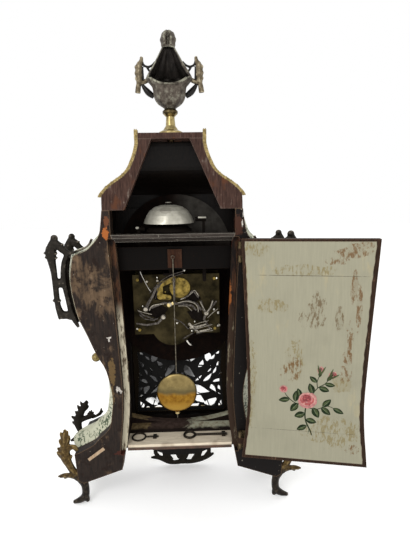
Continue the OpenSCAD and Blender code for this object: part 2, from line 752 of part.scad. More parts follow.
// Pierced scroll plate behind the lower glass
module front_door_grille() {
    y0 = front_door_y - 2;
    color("#3a342a") slab(y0, y0 + 1.9) intersection() {
        difference() {
            waist_sight2d(rebate_w - 0.2);
            translate(c_center) circle(r = sight_r + rebate_w + 0.5);
        }
        union() {
            difference() {
                waist_sight2d(rebate_w);
                offset(r = -10) waist_sight2d(rebate_w);
            }
            for (s = [-1, 1]) {
                path2d([scroll(0, 0), scroll(s * 0.26, 0.15), scroll(s * 0.4, 0.37), scroll(s * 0.71, 0.55),
                    scroll(s * 0.9, 0.83)], 8, 6);
                path2d([scroll(s * 0.12, 0.07), scroll(s * 0.48, 0.13), scroll(s * 0.74, 0.3),
                    scroll(s * 0.95, 0.33)], 7, 5);
                path2d([scroll(s * 0.4, 0.37), scroll(s * 0.31, 0.6), scroll(s * 0.52, 0.8),
                    scroll(s * 0.62, 1)], 7, 5);
                path2d([scroll(0, 0), scroll(s * 0.1, 0.32), scroll(s * 0.05, 0.65), scroll(s * 0.21, 0.95)],
                    7, 5);
                path2d([scroll(s * 0.71, 0.55), scroll(s * 0.6, 0.4), scroll(s * 0.79, 0.17)], 6, 4);
                path2d([scroll(s * 0.31, 0.6), scroll(s * 0.14, 0.48)], 6, 4);
            }
        }
    }
}

// Case-side leaves, their knuckles and the pins of both doors
module door_hinges() {
    color("#b08d45") for (z = [hinge_z1, hinge_z2]) {
        difference() {
            union() {
                translate([door_hx, door_hy, z - hinge_l / 2]) cylinder(r = knuckle_r, h = hinge_l * 0.32);
                translate([door_hx, door_hy, z + hinge_l * 0.18]) cylinder(r = knuckle_r, h = hinge_l * 0.32);
                translate([door_hx - leaf_w, back_y, z - hinge_l / 2]) cube([leaf_w, leaf_t, hinge_l]);
            }
            translate([door_hx, door_hy, z - hinge_l]) cylinder(r = pin_r, h = 2 * hinge_l);
            translate([door_hx, door_hy, z - hinge_l * 0.18])
                cylinder(r = knuckle_r + touch, h = hinge_l * 0.36);
        }
        translate([door_hx, door_hy, z - hinge_l / 2 - 1]) cylinder(r = pin_r, h = hinge_l + 2);
    }
    color("#b08d45") for (dz = [-front_hinge_dz, front_hinge_dz]) {
        difference() {
            union() {
                translate([front_hx, front_hy, dial_z + dz]) cylinder(r = knuckle_r - 0.7, h = 6);
                translate([front_hx + 0.5, front_hy, dial_z + dz]) cube([1.6, front_y - front_hy, 6]);
                translate([front_hx + 0.5, front_y - leaf_t, dial_z + dz]) cube([9, leaf_t, 6]);
            }
            translate([front_hx, front_hy, dial_z + dz - 1]) cylinder(r = pin_r, h = 8);
        }
        translate([front_hx, front_hy, dial_z + dz - 6.6]) cylinder(r = pin_r, h = 13.2);
    }
}

// Slightly domed dial with winding holes
module enamel_dial() {
    color("#e9e6dc") difference() {
        translate([0, frame_y, dial_z]) rotate([90, 0, 0])
            rotate_extrude($fn = 96) polygon([[0, 0], [dial_r, 0], [dial_r, 2], [dial_r * 0.75, 3.6],
                [dial_r * 0.4, 4.7], [0, 5.2]]);
        rod_y(c_center, 4, frame_y - 8, frame_y + 1);
        for (c = [c_going, c_strike]) rod_y(c, 4.5, frame_y - 8, frame_y + 1);
    }
}

// Hour pipe and hand
pipe_r = 2.8;
hour_y = frame_y - 8;
minute_y = hour_y - 2;
hand_t = 1;
module hand2d(l, w) {
    path2d([[0, -0.18 * l], [0, 0.5 * l]], w * 0.6, w * 0.5);
    translate([0, 0.55 * l]) difference() {
        circle(r = w * 0.95);
        circle(r = w * 0.5);
    }
    path2d([[0, 0.6 * l], [0, l]], w * 0.6, 1);
    circle(r = w);
}

hour_angle = 64;
minute_angle = 50;
module hour_hand() {
    color("#2b2722") difference() {
        union() {
            translate([0, 0, dial_z]) slab(hour_y, hour_y + hand_t) rotate(-hour_angle) hand2d(dial_r * 0.52, 6);
            rod_y(c_center, pipe_r, hour_y, frame_y + 2);
        }
        rod_y(c_center, arbor_r + run_gap, hour_y - 5, frame_y + 5);
    }
}

module minute_hand() {
    color("#2b2722") difference() {
        translate([0, 0, dial_z]) slab(minute_y, minute_y + hand_t) rotate(-minute_angle)
            hand2d(dial_r * 0.8, 5);
        rod_y(c_center, arbor_r, minute_y - 5, minute_y + 5);
    }
}

// Arbor of the minute hand with its wheel and pinion
module arbor(c, y0 = front_plate_y, y1 = rear_y) {
    rod_y(c, arbor_r, between_y + touch, back_plate_y - touch);
    rod_y(c, pivot_r, y0, y1);
}

module center_arbor() {
    color("#b9954a") {
        rod_y(c_center, arbor_r, minute_y - 1, back_plate_y - touch);
        rod_y(c_center, pivot_r, back_plate_y - 1, rear_y);
        translate([0, 0, dial_z]) slab(center_wheel_y, center_wheel_y + wheel_t)
            spoked2d(center_wheel_r, 60, 1.2, 4, 4);
        translate([0, 0, dial_z]) slab(barrel_wheel_y - 1, barrel_wheel_y + wheel_t + 1)
            wheel2d(center_pinion_r, 12, 1);
    }
}

module plate2d() {
    translate([-plate_w / 2, plate_low_z]) square([plate_w, plate_h]);
}

arbor_places = [c_third, c_escape, c_anchor, c_hammer_high, c_hammer_low];
barrel_places = [c_going, c_strike];
barrel_arbor_r = 2.5;
pillar_places = [for (s = [-1, 1]) for (z = [plate_low_z + pillar_in, plate_top_z - pillar_in])
    [s * (plate_w / 2 - pillar_in), z]];

module back_plate() {
    color("#6d5c30") difference() {
        slab(back_plate_y, rear_y) union() {
            plate2d();
            translate([lobe_x, lobe_z]) circle(r = lobe_r);
        }
        rod_y(c_center, pivot_r + run_gap, back_plate_y - 1, rear_y + 1);
        rod_y(c_count, pivot_r + run_gap, back_plate_y - 1, rear_y + 1);
        for (c = arbor_places) rod_y(c, pivot_r + run_gap, back_plate_y - 1, rear_y + 1);
        for (c = barrel_places) rod_y(c, barrel_arbor_r + run_gap, back_plate_y - 1, rear_y + 1);
    }
}

module front_plate() {
    color("#7a6837") difference() {
        slab(front_plate_y, between_y) plate2d();
        rod_y(c_center, arbor_r + run_gap, front_plate_y - 1, between_y + 1);
        for (c = arbor_places) rod_y(c, pivot_r + run_gap, front_plate_y - 1, between_y + 1);
        for (c = barrel_places) rod_y(c, barrel_arbor_r + run_gap, front_plate_y - 1, between_y + 1);
    }
}

// Pillars between the plates, the feet on the dial board and the pillar nuts
module plate_pillars() {
    color("#8d7640") for (c = pillar_places) {
        rod_y(c, pillar_r, between_y, back_plate_y);
        rod_y(c, pillar_r, board_y, front_plate_y);
        rod_y(c, pillar_r - 0.6, rear_y, rear_y + 1.4);
    }
}

// Spring barrel with its winding arbor
module barrel(c) {
    y0 = between_y + barrel_back_gap;
    difference() {
        union() {
            rod_y(c, barrel_r, y0, barrel_wheel_y);
            translate([c[0], 0, c[1]]) slab(barrel_wheel_y, barrel_wheel_y + wheel_t)
                wheel2d(barrel_wheel_r, 72, 1.4);
        }
        rod_y(c, barrel_r - 1.5, y0 + 1.2, barrel_wheel_y);
        rod_y(c, barrel_arbor_r, y0 - 1, barrel_wheel_y + wheel_t + 1);
    }
    rod_y(c, barrel_arbor_r, frame_y - 3, rear_y);
    rod_y(c, barrel_arbor_r + 6, y0 + 2, barrel_wheel_y - 1);
}

module going_barrel() {
    color("#a3863f") barrel(c_going);
}

module strike_barrel() {
    color("#a3863f") barrel(c_strike);
}

module third_wheel() {
    color("#a3863f") {
        arbor(c_third);
        translate([c_third[0], 0, c_third[1]]) {
            slab(third_wheel_y, third_wheel_y + wheel_t) spoked2d(third_wheel_r, 48, 1, 3.5, 4);
            slab(center_wheel_y - 0.5, center_wheel_y + wheel_t + 0.5) wheel2d(third_pinion_r, 9, 0.8);
        }
    }
}

module escape_wheel() {
    color("#a3863f") {
        arbor(c_escape);
        translate([c_escape[0], 0, c_escape[1]]) {
            slab(escape_y, escape_y + wheel_t) wheel2d(escape_r, 24, 1.4);
            slab(third_wheel_y - 0.5, third_wheel_y + wheel_t + 0.5) wheel2d(escape_pinion_r, 8, 0.8);
        }
    }
}

// Anchor over the escape wheel, and the crutch that reaches the pendulum rod
crutch_y = rear_y + 7;
crutch_drop = 34;
fork_gap = 0.35;
module anchor_crutch() {
    c = c_anchor;
    fork_z = c[1] - crutch_drop;
    color("#9b9588") {
        rod_y(c, arbor_r, between_y + touch, back_plate_y - touch);
        rod_y(c, pivot_r, front_plate_y, crutch_y + 1.5);
        slab(escape_y, escape_y + wheel_t) for (s = [-1, 1])
            path2d([c, [c[0] + s * 9.5, c[1] - 3], [c[0] + s * 11, c[1] - 8]], 3, 1.6);
        slab(crutch_y, crutch_y + 1.5) path2d([c, [c[0], fork_z]], 4.5, 3);
        for (s = [-1, 1]) translate([c[0] + s * (rod_r + fork_gap + 0.6) - 0.6, crutch_y + 1.5, fork_z - 1])
            cube([1.2, pendulum_y + 3 - crutch_y - 1.5, 2]);
    }
}

// Bridge that carries the rear pivot of the anchor
cock_y = rear_y + 3.6;
cock_t = 2;
module back_cock() {
    feet = [[26, dial_z + 30], [26, dial_z + 11]];
    color("#b9954a") difference() {
        union() {
            slab(cock_y, cock_y + cock_t) {
                path2d([c_anchor, feet[0], feet[1]], 8, 10);
                path2d([feet[1], [12, dial_z + 9]], 9, 8);
            }
            for (f = feet) rod_y(f, 3, rear_y, cock_y);
        }
        rod_y(c_anchor, pivot_r + run_gap, cock_y - 1, cock_y + cock_t + 1);
    }
}

count_y = rear_y + 1.2;
module count_wheel() {
    color("#c2a04c") {
        rod_y(c_count, pivot_r, back_plate_y, count_y + wheel_t + 1);
        rod_y(c_count, 3, rear_y + touch, count_y + 0.2);
        translate([c_count[0], 0, c_count[1]]) slab(count_y, count_y + wheel_t)
            wheel2d(count_r, 78, 0.8);
    }
}

// A steel lever with a bored hub, which turns on a post
module lever(hub, y0) {
    difference() {
        slab(y0, y0 + lever_t) union() {
            children();
            translate(hub) circle(r = post_r + 2.2);
        }
        rod_y(hub, post_r + run_gap, y0 - 1, y0 + lever_t + 1);
    }
}

module lifted(paths, w0, w1) {
    for (p = paths) path2d([for (q = p) [q[0], q[1] + dial_z]], w0, w1);
}

lifting_hub = lifting_path[0];
module lifting_lever() {
    color("#77736c") lever(lifting_hub, lever_y2) path2d(lifting_path, 5, 3);
}

module rack_lever() {
    color("#77736c") lever(rack_hub, lever_y2) lifted(rack_paths, 4, 2.6);
}

module warning_lever() {
    color("#77736c") lever(warning_hub, lever_y1 + 0.2) lifted(warning_paths, 4, 3);
}

module stop_lever() {
    color("#77736c") lever(stop_hub, lever_y2) lifted([stop_path], 4, 2.6);
}

// Posts of the levers with their heads, the fixed springs and the screw heads on the back plate
screw_places = [[47, 35], [30, 36], [0, -35], [-61, -14], [-69, -41], [66, -44], [-24, -49]];
module post(hub, y0) {
    rod_y(hub, post_r, rear_y, y0 + lever_t + 0.4);
    rod_y(hub, post_r + 1.2, y0 + lever_t + 0.4, y0 + lever_t + 1.8);
    if (y0 > lever_y1 + 1) rod_y(hub, post_r + 1.2, rear_y, y0 - 0.3);
}

module lever_fixings() {
    color("#c9c2b2") {
        post(lifting_hub, lever_y2);
        post(rack_hub, lever_y2);
        post(stop_hub, lever_y2);
        post(warning_hub, lever_y1 + 0.2);
        for (p = screw_places) rod_y([p[0], p[1] + dial_z], 1.8, rear_y, rear_y + 1.6);
        slab(rear_y, rear_y + 1.5) lifted([[[-22, -44], [-36, -42], [-50, -38]],
            [[-20, -38], [-34, -52], [-54, -47]]], 4, 2);
    }
}

// Rod with the eye that hangs on the pin
module pendulum_rod() {
    c = [pendulum_x, pivot_z];
    color("#a8a294") {
        difference() {
            rod_y(c, hook_r + 1.6, pendulum_y - eye_w / 2, pendulum_y + eye_w / 2);
            rod_y(c, hook_r + run_gap, pendulum_y - 3, pendulum_y + 3);
        }
        difference() {
            translate([pendulum_x, pendulum_y, bob_z - bob_r - rod_tail])
                cylinder(r = rod_r, h = pivot_z - bob_z + bob_r + rod_tail - hook_r - 0.6);
            rod_y(c, hook_r + 0.4, pendulum_y - 3, pendulum_y + 3);
        }
    }
}

module pendulum_bob() {
    edge_t = 2;
    color("#c39a3c") difference() {
        translate([pendulum_x, pendulum_y, bob_z]) rotate([90, 0, 0]) rotate_extrude($fn = 72)
            polygon(concat([[0, -bob_t / 2]],
                [for (i = [1:8]) let (a = i / 8) [bob_r * sin(90 * a),
                    -edge_t / 2 - (bob_t - edge_t) / 2 * pow(cos(90 * a), 1.2)]],
                [for (i = [8:-1:1]) let (a = i / 8) [bob_r * sin(90 * a),
                    edge_t / 2 + (bob_t - edge_t) / 2 * pow(cos(90 * a), 1.2)]],
                [[0, bob_t / 2]]));
        translate([pendulum_x, pendulum_y, bob_z - bob_r - 1]) cylinder(r = rod_r + run_gap, h = 2 * bob_r + 2);
    }
}

module rating_nut() {
    color("#cdb98a") difference() {
        translate([pendulum_x, pendulum_y, bob_z - bob_r - touch - nut_h]) cylinder(r = nut_r, h = nut_h);
        translate([pendulum_x, pendulum_y, bob_z - bob_r - 10]) cylinder(r = rod_r + run_gap, h = 20);
    }
}

// Post on the movement with the seats of both bells
module bell_stand() {
    foot_y = bell_y;
    color("#4d4a45") {
        translate([bell_x - 12, front_plate_y, plate_top_z]) cube([24, bell_y + 5 - front_plate_y, 3]);
        translate([bell_x, foot_y, plate_top_z + 3]) cylinder(r = stand_r, h = bell_z + bell_h + 5 - plate_top_z - 3);
        translate([bell_x, foot_y, low_bell_z + low_bell_h - 4 - bell_wall])
            cylinder(r = stand_r + 4, h = 4 - touch);
        translate([bell_x, foot_y, low_bell_z + low_bell_h])
            cylinder(r = stand_r + 4, h = bell_z + bell_h - bell_wall - low_bell_z - low_bell_h - touch);
        translate([bell_x, foot_y, bell_z + bell_h]) cylinder(r = 6, h = 3);
    }
}

// Dished shell with a hole for the post
module bell(r, h, wall) {
    outer = [[r, 0], [r * 0.965, h * 0.18], [r * 0.885, h * 0.43], [r * 0.76, h * 0.68], [r * 0.56, h * 0.88],
        [r * 0.3, h * 0.98], [stand_r + run_gap, h]];
    inner = [[stand_r + run_gap, h - wall], [r * 0.3, h * 0.98 - wall], [r * 0.54, h * 0.88 - wall],
        [r * 0.76 - wall, h * 0.68 - 0.4 * wall], [r * 0.885 - wall, h * 0.4], [r - wall, 0]];
    rotate_extrude($fn = 72) polygon(concat(outer, inner));
}

module upper_bell() {
    color("#c9c5b8") translate([bell_x, bell_y, bell_z]) bell(bell_r, bell_h, bell_wall);
}

module lower_bell() {
    color("#2e2c29") translate([bell_x, bell_y, low_bell_z]) bell(low_bell_r, low_bell_h, bell_wall);
}

// Hammer on its arbor between the plates; the head stands off its bell
strike_gap = 2;
module hammer(c, side, bell_edge, head_z, head_r) {
    reach = abs(bell_edge + side * strike_gap - c[0]);
    arbor(c);
    rod_y(c, pivot_r, rear_y, bell_y);
    slab(bell_y - 1.2, bell_y + 1.2) path2d([c, [c[0], head_z]], 6, 4);
    translate([c[0] - reach * max(side, 0) - 4 * max(-side, 0), bell_y, head_z]) rotate([0, 90, 0])
        cylinder(r = head_r, h = reach + 4);
}

module hammer_high() {
    color("#8f8a80") hammer(c_hammer_high, -1, bell_x - bell_r, bell_z + 5, 3.6);
}

module hammer_low() {
    color("#8f8a80") hammer(c_hammer_low, 1, bell_x + low_bell_r, low_bell_z + 4, 3);
}

// The door is drawn shut and swung open about its hinge
module swung() {
    translate([door_hx, door_hy, 0]) rotate([0, 0, door_open]) translate([-door_hx, -door_hy, 0]) children();
}

module door_piece(z0, z1) {
    intersection() {
        slab(back_y - door_t, back_y) door2d(0);
        translate([-base_w, back_y - door_t - 1, z0]) cube([2 * base_w, door_t + 2, z1 - z0]);
    }
}

module rear_door() {
    color("#cfcab4") swung() {
        door_piece(door_low_z - 1, door_low_z + cleat_l);
        door_piece(door_low_z + cleat_l, door_top_z - cleat_l);
        door_piece(door_top_z - cleat_l, door_top_z + 1);
        for (z = [hinge_z1, hinge_z2]) difference() {
            union() {
                translate([door_hx, door_hy, z - hinge_l * 0.17]) cylinder(r = knuckle_r, h = hinge_l * 0.34);
                translate([door_hx, back_y, z - hinge_l * 0.17]) cube([leaf_w + 2, leaf_t, hinge_l * 0.34]);
            }
            translate([door_hx, door_hy, z - hinge_l]) cylinder(r = pin_r + run_gap, h = 2 * hinge_l);
        }
    }
}

// Turn button on the outside of the door, over the edge of the stile when shut
latch_x = open_half(latch_z) + door_lap - latch_in;
module rear_door_latch() {
    y0 = back_y + touch;
    color("#b08d45") swung() {
        slab(y0, y0 + 2.5) path2d([[latch_x, latch_z], [latch_x, latch_z + latch_l]], 11, 8);
        rod_y([latch_x, latch_z], 4, y0 + 2.5, y0 + 9);
    }
}

// Winding key and door key, left lying on the floor of the case
module key(c, bow_r, shank_l, way, bow_w) {
    translate([c[0], c[1], floor_z + bow_w / 2]) {
        rotate_extrude() translate([bow_r, 0]) circle(d = bow_w, $fn = 24);
        translate([way * bow_r, 0, 0]) rotate([0, way * 90, 0]) cylinder(d = bow_w, h = shank_l);
        translate([way * (bow_r + shank_l - 6) - 3, -5, -bow_w / 2]) cube([6, 10, bow_w]);
    }
}

module keys() {
    color("#6b6459") {
        key([-16, 16], 9, 55, -1, 4);
        key([70, 17], 11, 22, -1, 3);
    }
}

back_stile_left();
back_stile_right();
back_rail();
bottom_board();
base_linings();
side_panel_left();
side_panel_right();
front_frame();
corner_blocks();
suspension_board();
suspension_block();
dial_board();
hat_back_frame();
hat_sides();
hat_front();
hat_top_board();
hat_trims();
corner_mounts();
feet_back();
feet_front();
apron_mount();
side_rosettes();
finial_pedestal();
finial_urn();
finial_handles();
front_door_frame();
front_door_glass();
front_door_grille();
door_hinges();
enamel_dial();
hour_hand();
minute_hand();
center_arbor();
back_plate();
front_plate();
plate_pillars();
going_barrel();
strike_barrel();
third_wheel();
escape_wheel();
anchor_crutch();
back_cock();
count_wheel();
lifting_lever();
rack_lever();
warning_lever();
stop_lever();
lever_fixings();
pendulum_rod();
pendulum_bob();
rating_nut();
bell_stand();
upper_bell();
lower_bell();
hammer_high();
hammer_low();
rear_door();
rear_door_latch();
keys();
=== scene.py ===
# Dresses a bracket clock seen from behind with its rear door open.
# Lengths are in millimetres in the shared frame, and MM turns them into metres.
import json
import math

import bmesh
import bpy
from mathutils import Matrix, Vector


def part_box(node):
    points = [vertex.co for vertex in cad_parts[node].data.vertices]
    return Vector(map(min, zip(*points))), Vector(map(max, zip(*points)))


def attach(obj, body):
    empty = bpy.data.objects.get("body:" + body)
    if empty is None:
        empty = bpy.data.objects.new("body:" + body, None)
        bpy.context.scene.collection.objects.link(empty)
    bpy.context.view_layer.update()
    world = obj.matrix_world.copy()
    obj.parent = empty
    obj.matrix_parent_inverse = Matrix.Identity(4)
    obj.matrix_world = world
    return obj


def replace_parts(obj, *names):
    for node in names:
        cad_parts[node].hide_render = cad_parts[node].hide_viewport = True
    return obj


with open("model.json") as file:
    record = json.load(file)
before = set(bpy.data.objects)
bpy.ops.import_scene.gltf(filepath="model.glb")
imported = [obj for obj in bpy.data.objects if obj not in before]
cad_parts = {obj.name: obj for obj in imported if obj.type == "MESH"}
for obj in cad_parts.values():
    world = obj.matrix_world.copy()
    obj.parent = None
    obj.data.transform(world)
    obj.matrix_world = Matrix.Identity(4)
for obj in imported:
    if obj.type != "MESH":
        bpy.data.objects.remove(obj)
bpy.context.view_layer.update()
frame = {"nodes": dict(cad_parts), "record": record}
nodes = frame["nodes"]
MM = 0.001
Z_AXIS = Vector((0, 0, 1))
WELD = 0.00002


# Places taken from the frame

def low(node):
    """Lowest corner of a CAD node in millimetres."""
    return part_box(node)[0] / MM


def high(node):
    """Highest corner of a CAD node in millimetres."""
    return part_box(node)[1] / MM


def middle(node):
    return (low(node) + high(node)) / 2


BACK_Y = high("back_stile_left").y
FRONT_Y = low("front_frame").y
DIAL_Z = middle("center_arbor").z
PLATE_Y = high("back_plate").y
URN_FOOT = low("finial_urn").z
URN_Y = middle("finial_pedestal").y


# Small maths

def mix(a, b, t):
    return a + (b - a) * t


def spline_point(a, b, c, d, t):
    return 0.5 * (2 * b + (c - a) * t + (2 * a - 5 * b + 4 * c - d) * t ** 2
                  + (3 * b - a - 3 * c + d) * t ** 3)


def smooth(points, steps):
    """A smooth chain through points, with steps pieces between two of them."""
    pts = [Vector(p) for p in points]
    last = len(pts) - 1
    chain = []
    for i in range(last):
        a, b = pts[max(i - 1, 0)], pts[i]
        c, d = pts[i + 1], pts[min(i + 2, last)]
        chain += [spline_point(a, b, c, d, k / steps) for k in range(steps)]
    return chain + [pts[-1]]


def flat_pair(root, tip):
    """Two (x, z) places as vectors, and the unit vector square to the way between them."""
    a, b = Vector((*root, 0)), Vector((*tip, 0))
    return a, b, Vector((a.y - b.y, b.x - a.x, 0)).normalized()


# Meshes

def ring_faces(rows, sides):
    """Faces between rows of vertices that each go once round."""
    faces = []
    for i in range(rows - 1):
        for k in range(sides):
            n = (k + 1) % sides
            faces.append((i * sides + k, i * sides + n, (i + 1) * sides + n, (i + 1) * sides + k))
    return faces


class Shape:
    """Vertices and faces gathered in millimetres before they become one object."""

    def __init__(self):
        self.verts = []
        self.faces = []
        self.tints = []
        self.tint = 0

    def add(self, verts, faces):
        base = len(self.verts)
        self.verts += [Vector(v) for v in verts]
        self.faces += [tuple(base + i for i in f) for f in faces]
        self.tints += [self.tint] * len(faces)

    def join(self, other):
        base = len(self.verts)
        self.verts += other.verts
        self.faces += [tuple(base + i for i in f) for f in other.faces]
        self.tints += other.tints

    def tube(self, points, radii, sides, depth, steps, across=(0, 1, 0)):
        """A round or flattened rod along a smooth path, closed at both ends."""
        if not hasattr(radii, "__len__"):
            radii = [radii] * len(points)
        path = smooth(points, steps)
        width = [v.x for v in smooth([(r, 0, 0) for r in radii], steps)]
        normal = Vector(across)
        verts = []
        for i, p in enumerate(path):
            ahead = path[min(i + 1, len(path) - 1)] - path[max(i - 1, 0)]
            ahead.normalize()
            if abs(ahead.dot(normal)) > 0.95:
                normal = Vector((1, 0, 0)) if abs(ahead.x) < 0.8 else Vector((0, 0, 1))
            up = (normal - ahead * normal.dot(ahead)).normalized()
            side = ahead.cross(up)
            for k in range(sides):
                a = 2 * math.pi * k / sides
                verts.append(p + side * (math.cos(a) * width[i])
                             + up * (math.sin(a) * width[i] * depth))
        faces = ring_faces(len(path), sides)
        first, final = len(verts), len(verts) + 1
        verts += [path[0], path[-1]]
        top = (len(path) - 1) * sides
        for k in range(sides):
            n = (k + 1) % sides
            faces.append((first, n, k))
            faces.append((final, top + k, top + n))
        self.add(verts, faces)

    def ball(self, centre, radius, depth=1.0, rings=10, sides=16):
        """A round ball, or one flattened in depth."""
        c = Vector(centre)
        verts, faces = [c - Z_AXIS * radius], []
        for r in range(1, rings):
            a = math.pi * r / rings - math.pi / 2
            for k in range(sides):
                b = 2 * math.pi * k / sides
                verts.append(c + Vector((math.cos(a) * math.cos(b), math.cos(a) * math.sin(b) * depth,
                                         math.sin(a))) * radius)
        verts.append(c + Z_AXIS * radius)
        top = len(verts) - 1
        for k in range(sides):
            n = (k + 1) % sides
            faces.append((0, 1 + n, 1 + k))
            faces.append((top, top - sides + k, top - sides + n))
        faces += [tuple(1 + i for i in f) for f in ring_faces(rings - 1, sides)]
        self.add(verts, faces)

    def lathe(self, profile, centre, axis, sides):
        """Turns (radius, height) pairs round the Z or Y axis through centre."""
        c = Vector(centre)
        verts = []
        for r, h in profile:
            for k in range(sides):
                a = math.radians(360 * k / sides)
                u, v = r * math.cos(a), r * math.sin(a)
                verts.append(c + Vector((u, v, h) if axis == "Z" else (u, h, v)))
        faces = ring_faces(len(profile), sides)
        self.add(verts, faces if axis == "Z" else [f[::-1] for f in faces])

    def prism(self, outline, y0, y1):
        """A flat (x, z) outline given thickness from y0 to y1."""
        n = len(outline)
        verts = [Vector((x, y0, z)) for x, z in outline] + [Vector((x, y1, z)) for x, z in outline]
        faces = [tuple(range(n)), tuple(range(2 * n - 1, n - 1, -1))]
        faces += [(i, n + i, n + (i + 1) % n, (i + 1) % n) for i in range(n)]
        self.add(verts, faces)

    def block(self, corner, size):
        x, y, z = corner
        a, b, c = size
        self.prism([(x, z), (x + a, z), (x + a, z + c), (x, z + c)], y, y + b)

    def mirrored(self):
        """The same shape on the other side of the clock's middle plane as well."""
        base = len(self.verts)
        self.verts += [Vector((-v.x, v.y, v.z)) for v in self.verts]
        self.faces += [tuple(base + i for i in f[::-1]) for f in self.faces]
        self.tints += list(self.tints)
        return self

    def moved(self, shift):
        self.verts = [v + Vector(shift) for v in self.verts]
        return self

    def turned(self, angle, axis, pivot):
        spin = Matrix.Rotation(math.radians(angle), 3, axis)
        c = Vector(pivot)
        self.verts = [spin @ (v - c) + c for v in self.verts]
        return self


def clean(mesh):
    """Welds vertices that meet and turns all faces outward."""
    bm = bmesh.new()
    bm.from_mesh(mesh)
    bmesh.ops.remove_doubles(bm, verts=bm.verts, dist=WELD)
    bmesh.ops.recalc_face_normals(bm, faces=bm.faces)
    bm.to_mesh(mesh)
    bm.free()


def shade_smooth(mesh, angle=40.0):
    mesh.polygons.foreach_set("use_smooth", [True] * len(mesh.polygons))
    mesh.set_sharp_from_angle(angle=math.radians(angle))


def round_edges(obj, width, angle):
    """Rounds edges that turn by more than angle degrees."""
    edge = obj.modifiers.new("edge", "BEVEL")
    edge.width = width * MM
    edge.segments = 2
    edge.angle_limit = math.radians(angle)


def place(name, shape, body, look, bevel=0.0, tints=()):
    """Makes the object of a shape, and lets it ride on a body."""
    mesh = bpy.data.meshes.new(name)
    mesh.from_pydata([v * MM for v in shape.verts], [], shape.faces)
    for material in (looks[look], *tints):
        mesh.materials.append(material)
    if tints:
        mesh.polygons.foreach_set("material_index", shape.tints)
    clean(mesh)
    obj = bpy.data.objects.new(name, mesh)
    bpy.context.scene.collection.objects.link(obj)
    if bevel:
        round_edges(obj, bevel, 35)
    shade_smooth(mesh)
    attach(obj, body)
    return obj


def settle(obj):
    """Keeps what the modifiers make as the object's own mesh."""
    bpy.context.view_layer.update()
    view = bpy.context.evaluated_depsgraph_get()
    old = obj.data
    made = bpy.data.meshes.new_from_object(obj.evaluated_get(view))
    obj.modifiers.clear()
    obj.data = made
    bpy.data.meshes.remove(old)


def cast(name, shape, look, voxel, passes):
    """Fuses overlapping strands into one soft-edged casting on the case."""
    obj = place(name, shape, "case", look)
    fuse = obj.modifiers.new("fuse", "REMESH")
    fuse.mode = "VOXEL"
    fuse.voxel_size = voxel * MM
    soften = obj.modifiers.new("soften", "SMOOTH")
    soften.factor = 0.5
    soften.iterations = passes
    settle(obj)
    obj.data.polygons.foreach_set("use_smooth", [True] * len(obj.data.polygons))
    return obj


# Material building blocks

def shade(colour, k):
    """A colour k times as bright, as far as a colour can be."""
    return tuple(min(1, k * c) for c in colour)


class Signal:
    """The output of a shader node, which sums and products turn into further nodes."""

    def __init__(self, finish, socket):
        self.finish = finish
        self.socket = socket

    def __add__(self, other):
        return self.finish.maths("ADD", self, other)

    def __sub__(self, other):
        return self.finish.maths("SUBTRACT", self, other)

    def __rsub__(self, other):
        return self.finish.maths("SUBTRACT", other, self)

    def __mul__(self, other):
        return self.finish.maths("MULTIPLY", self, other)


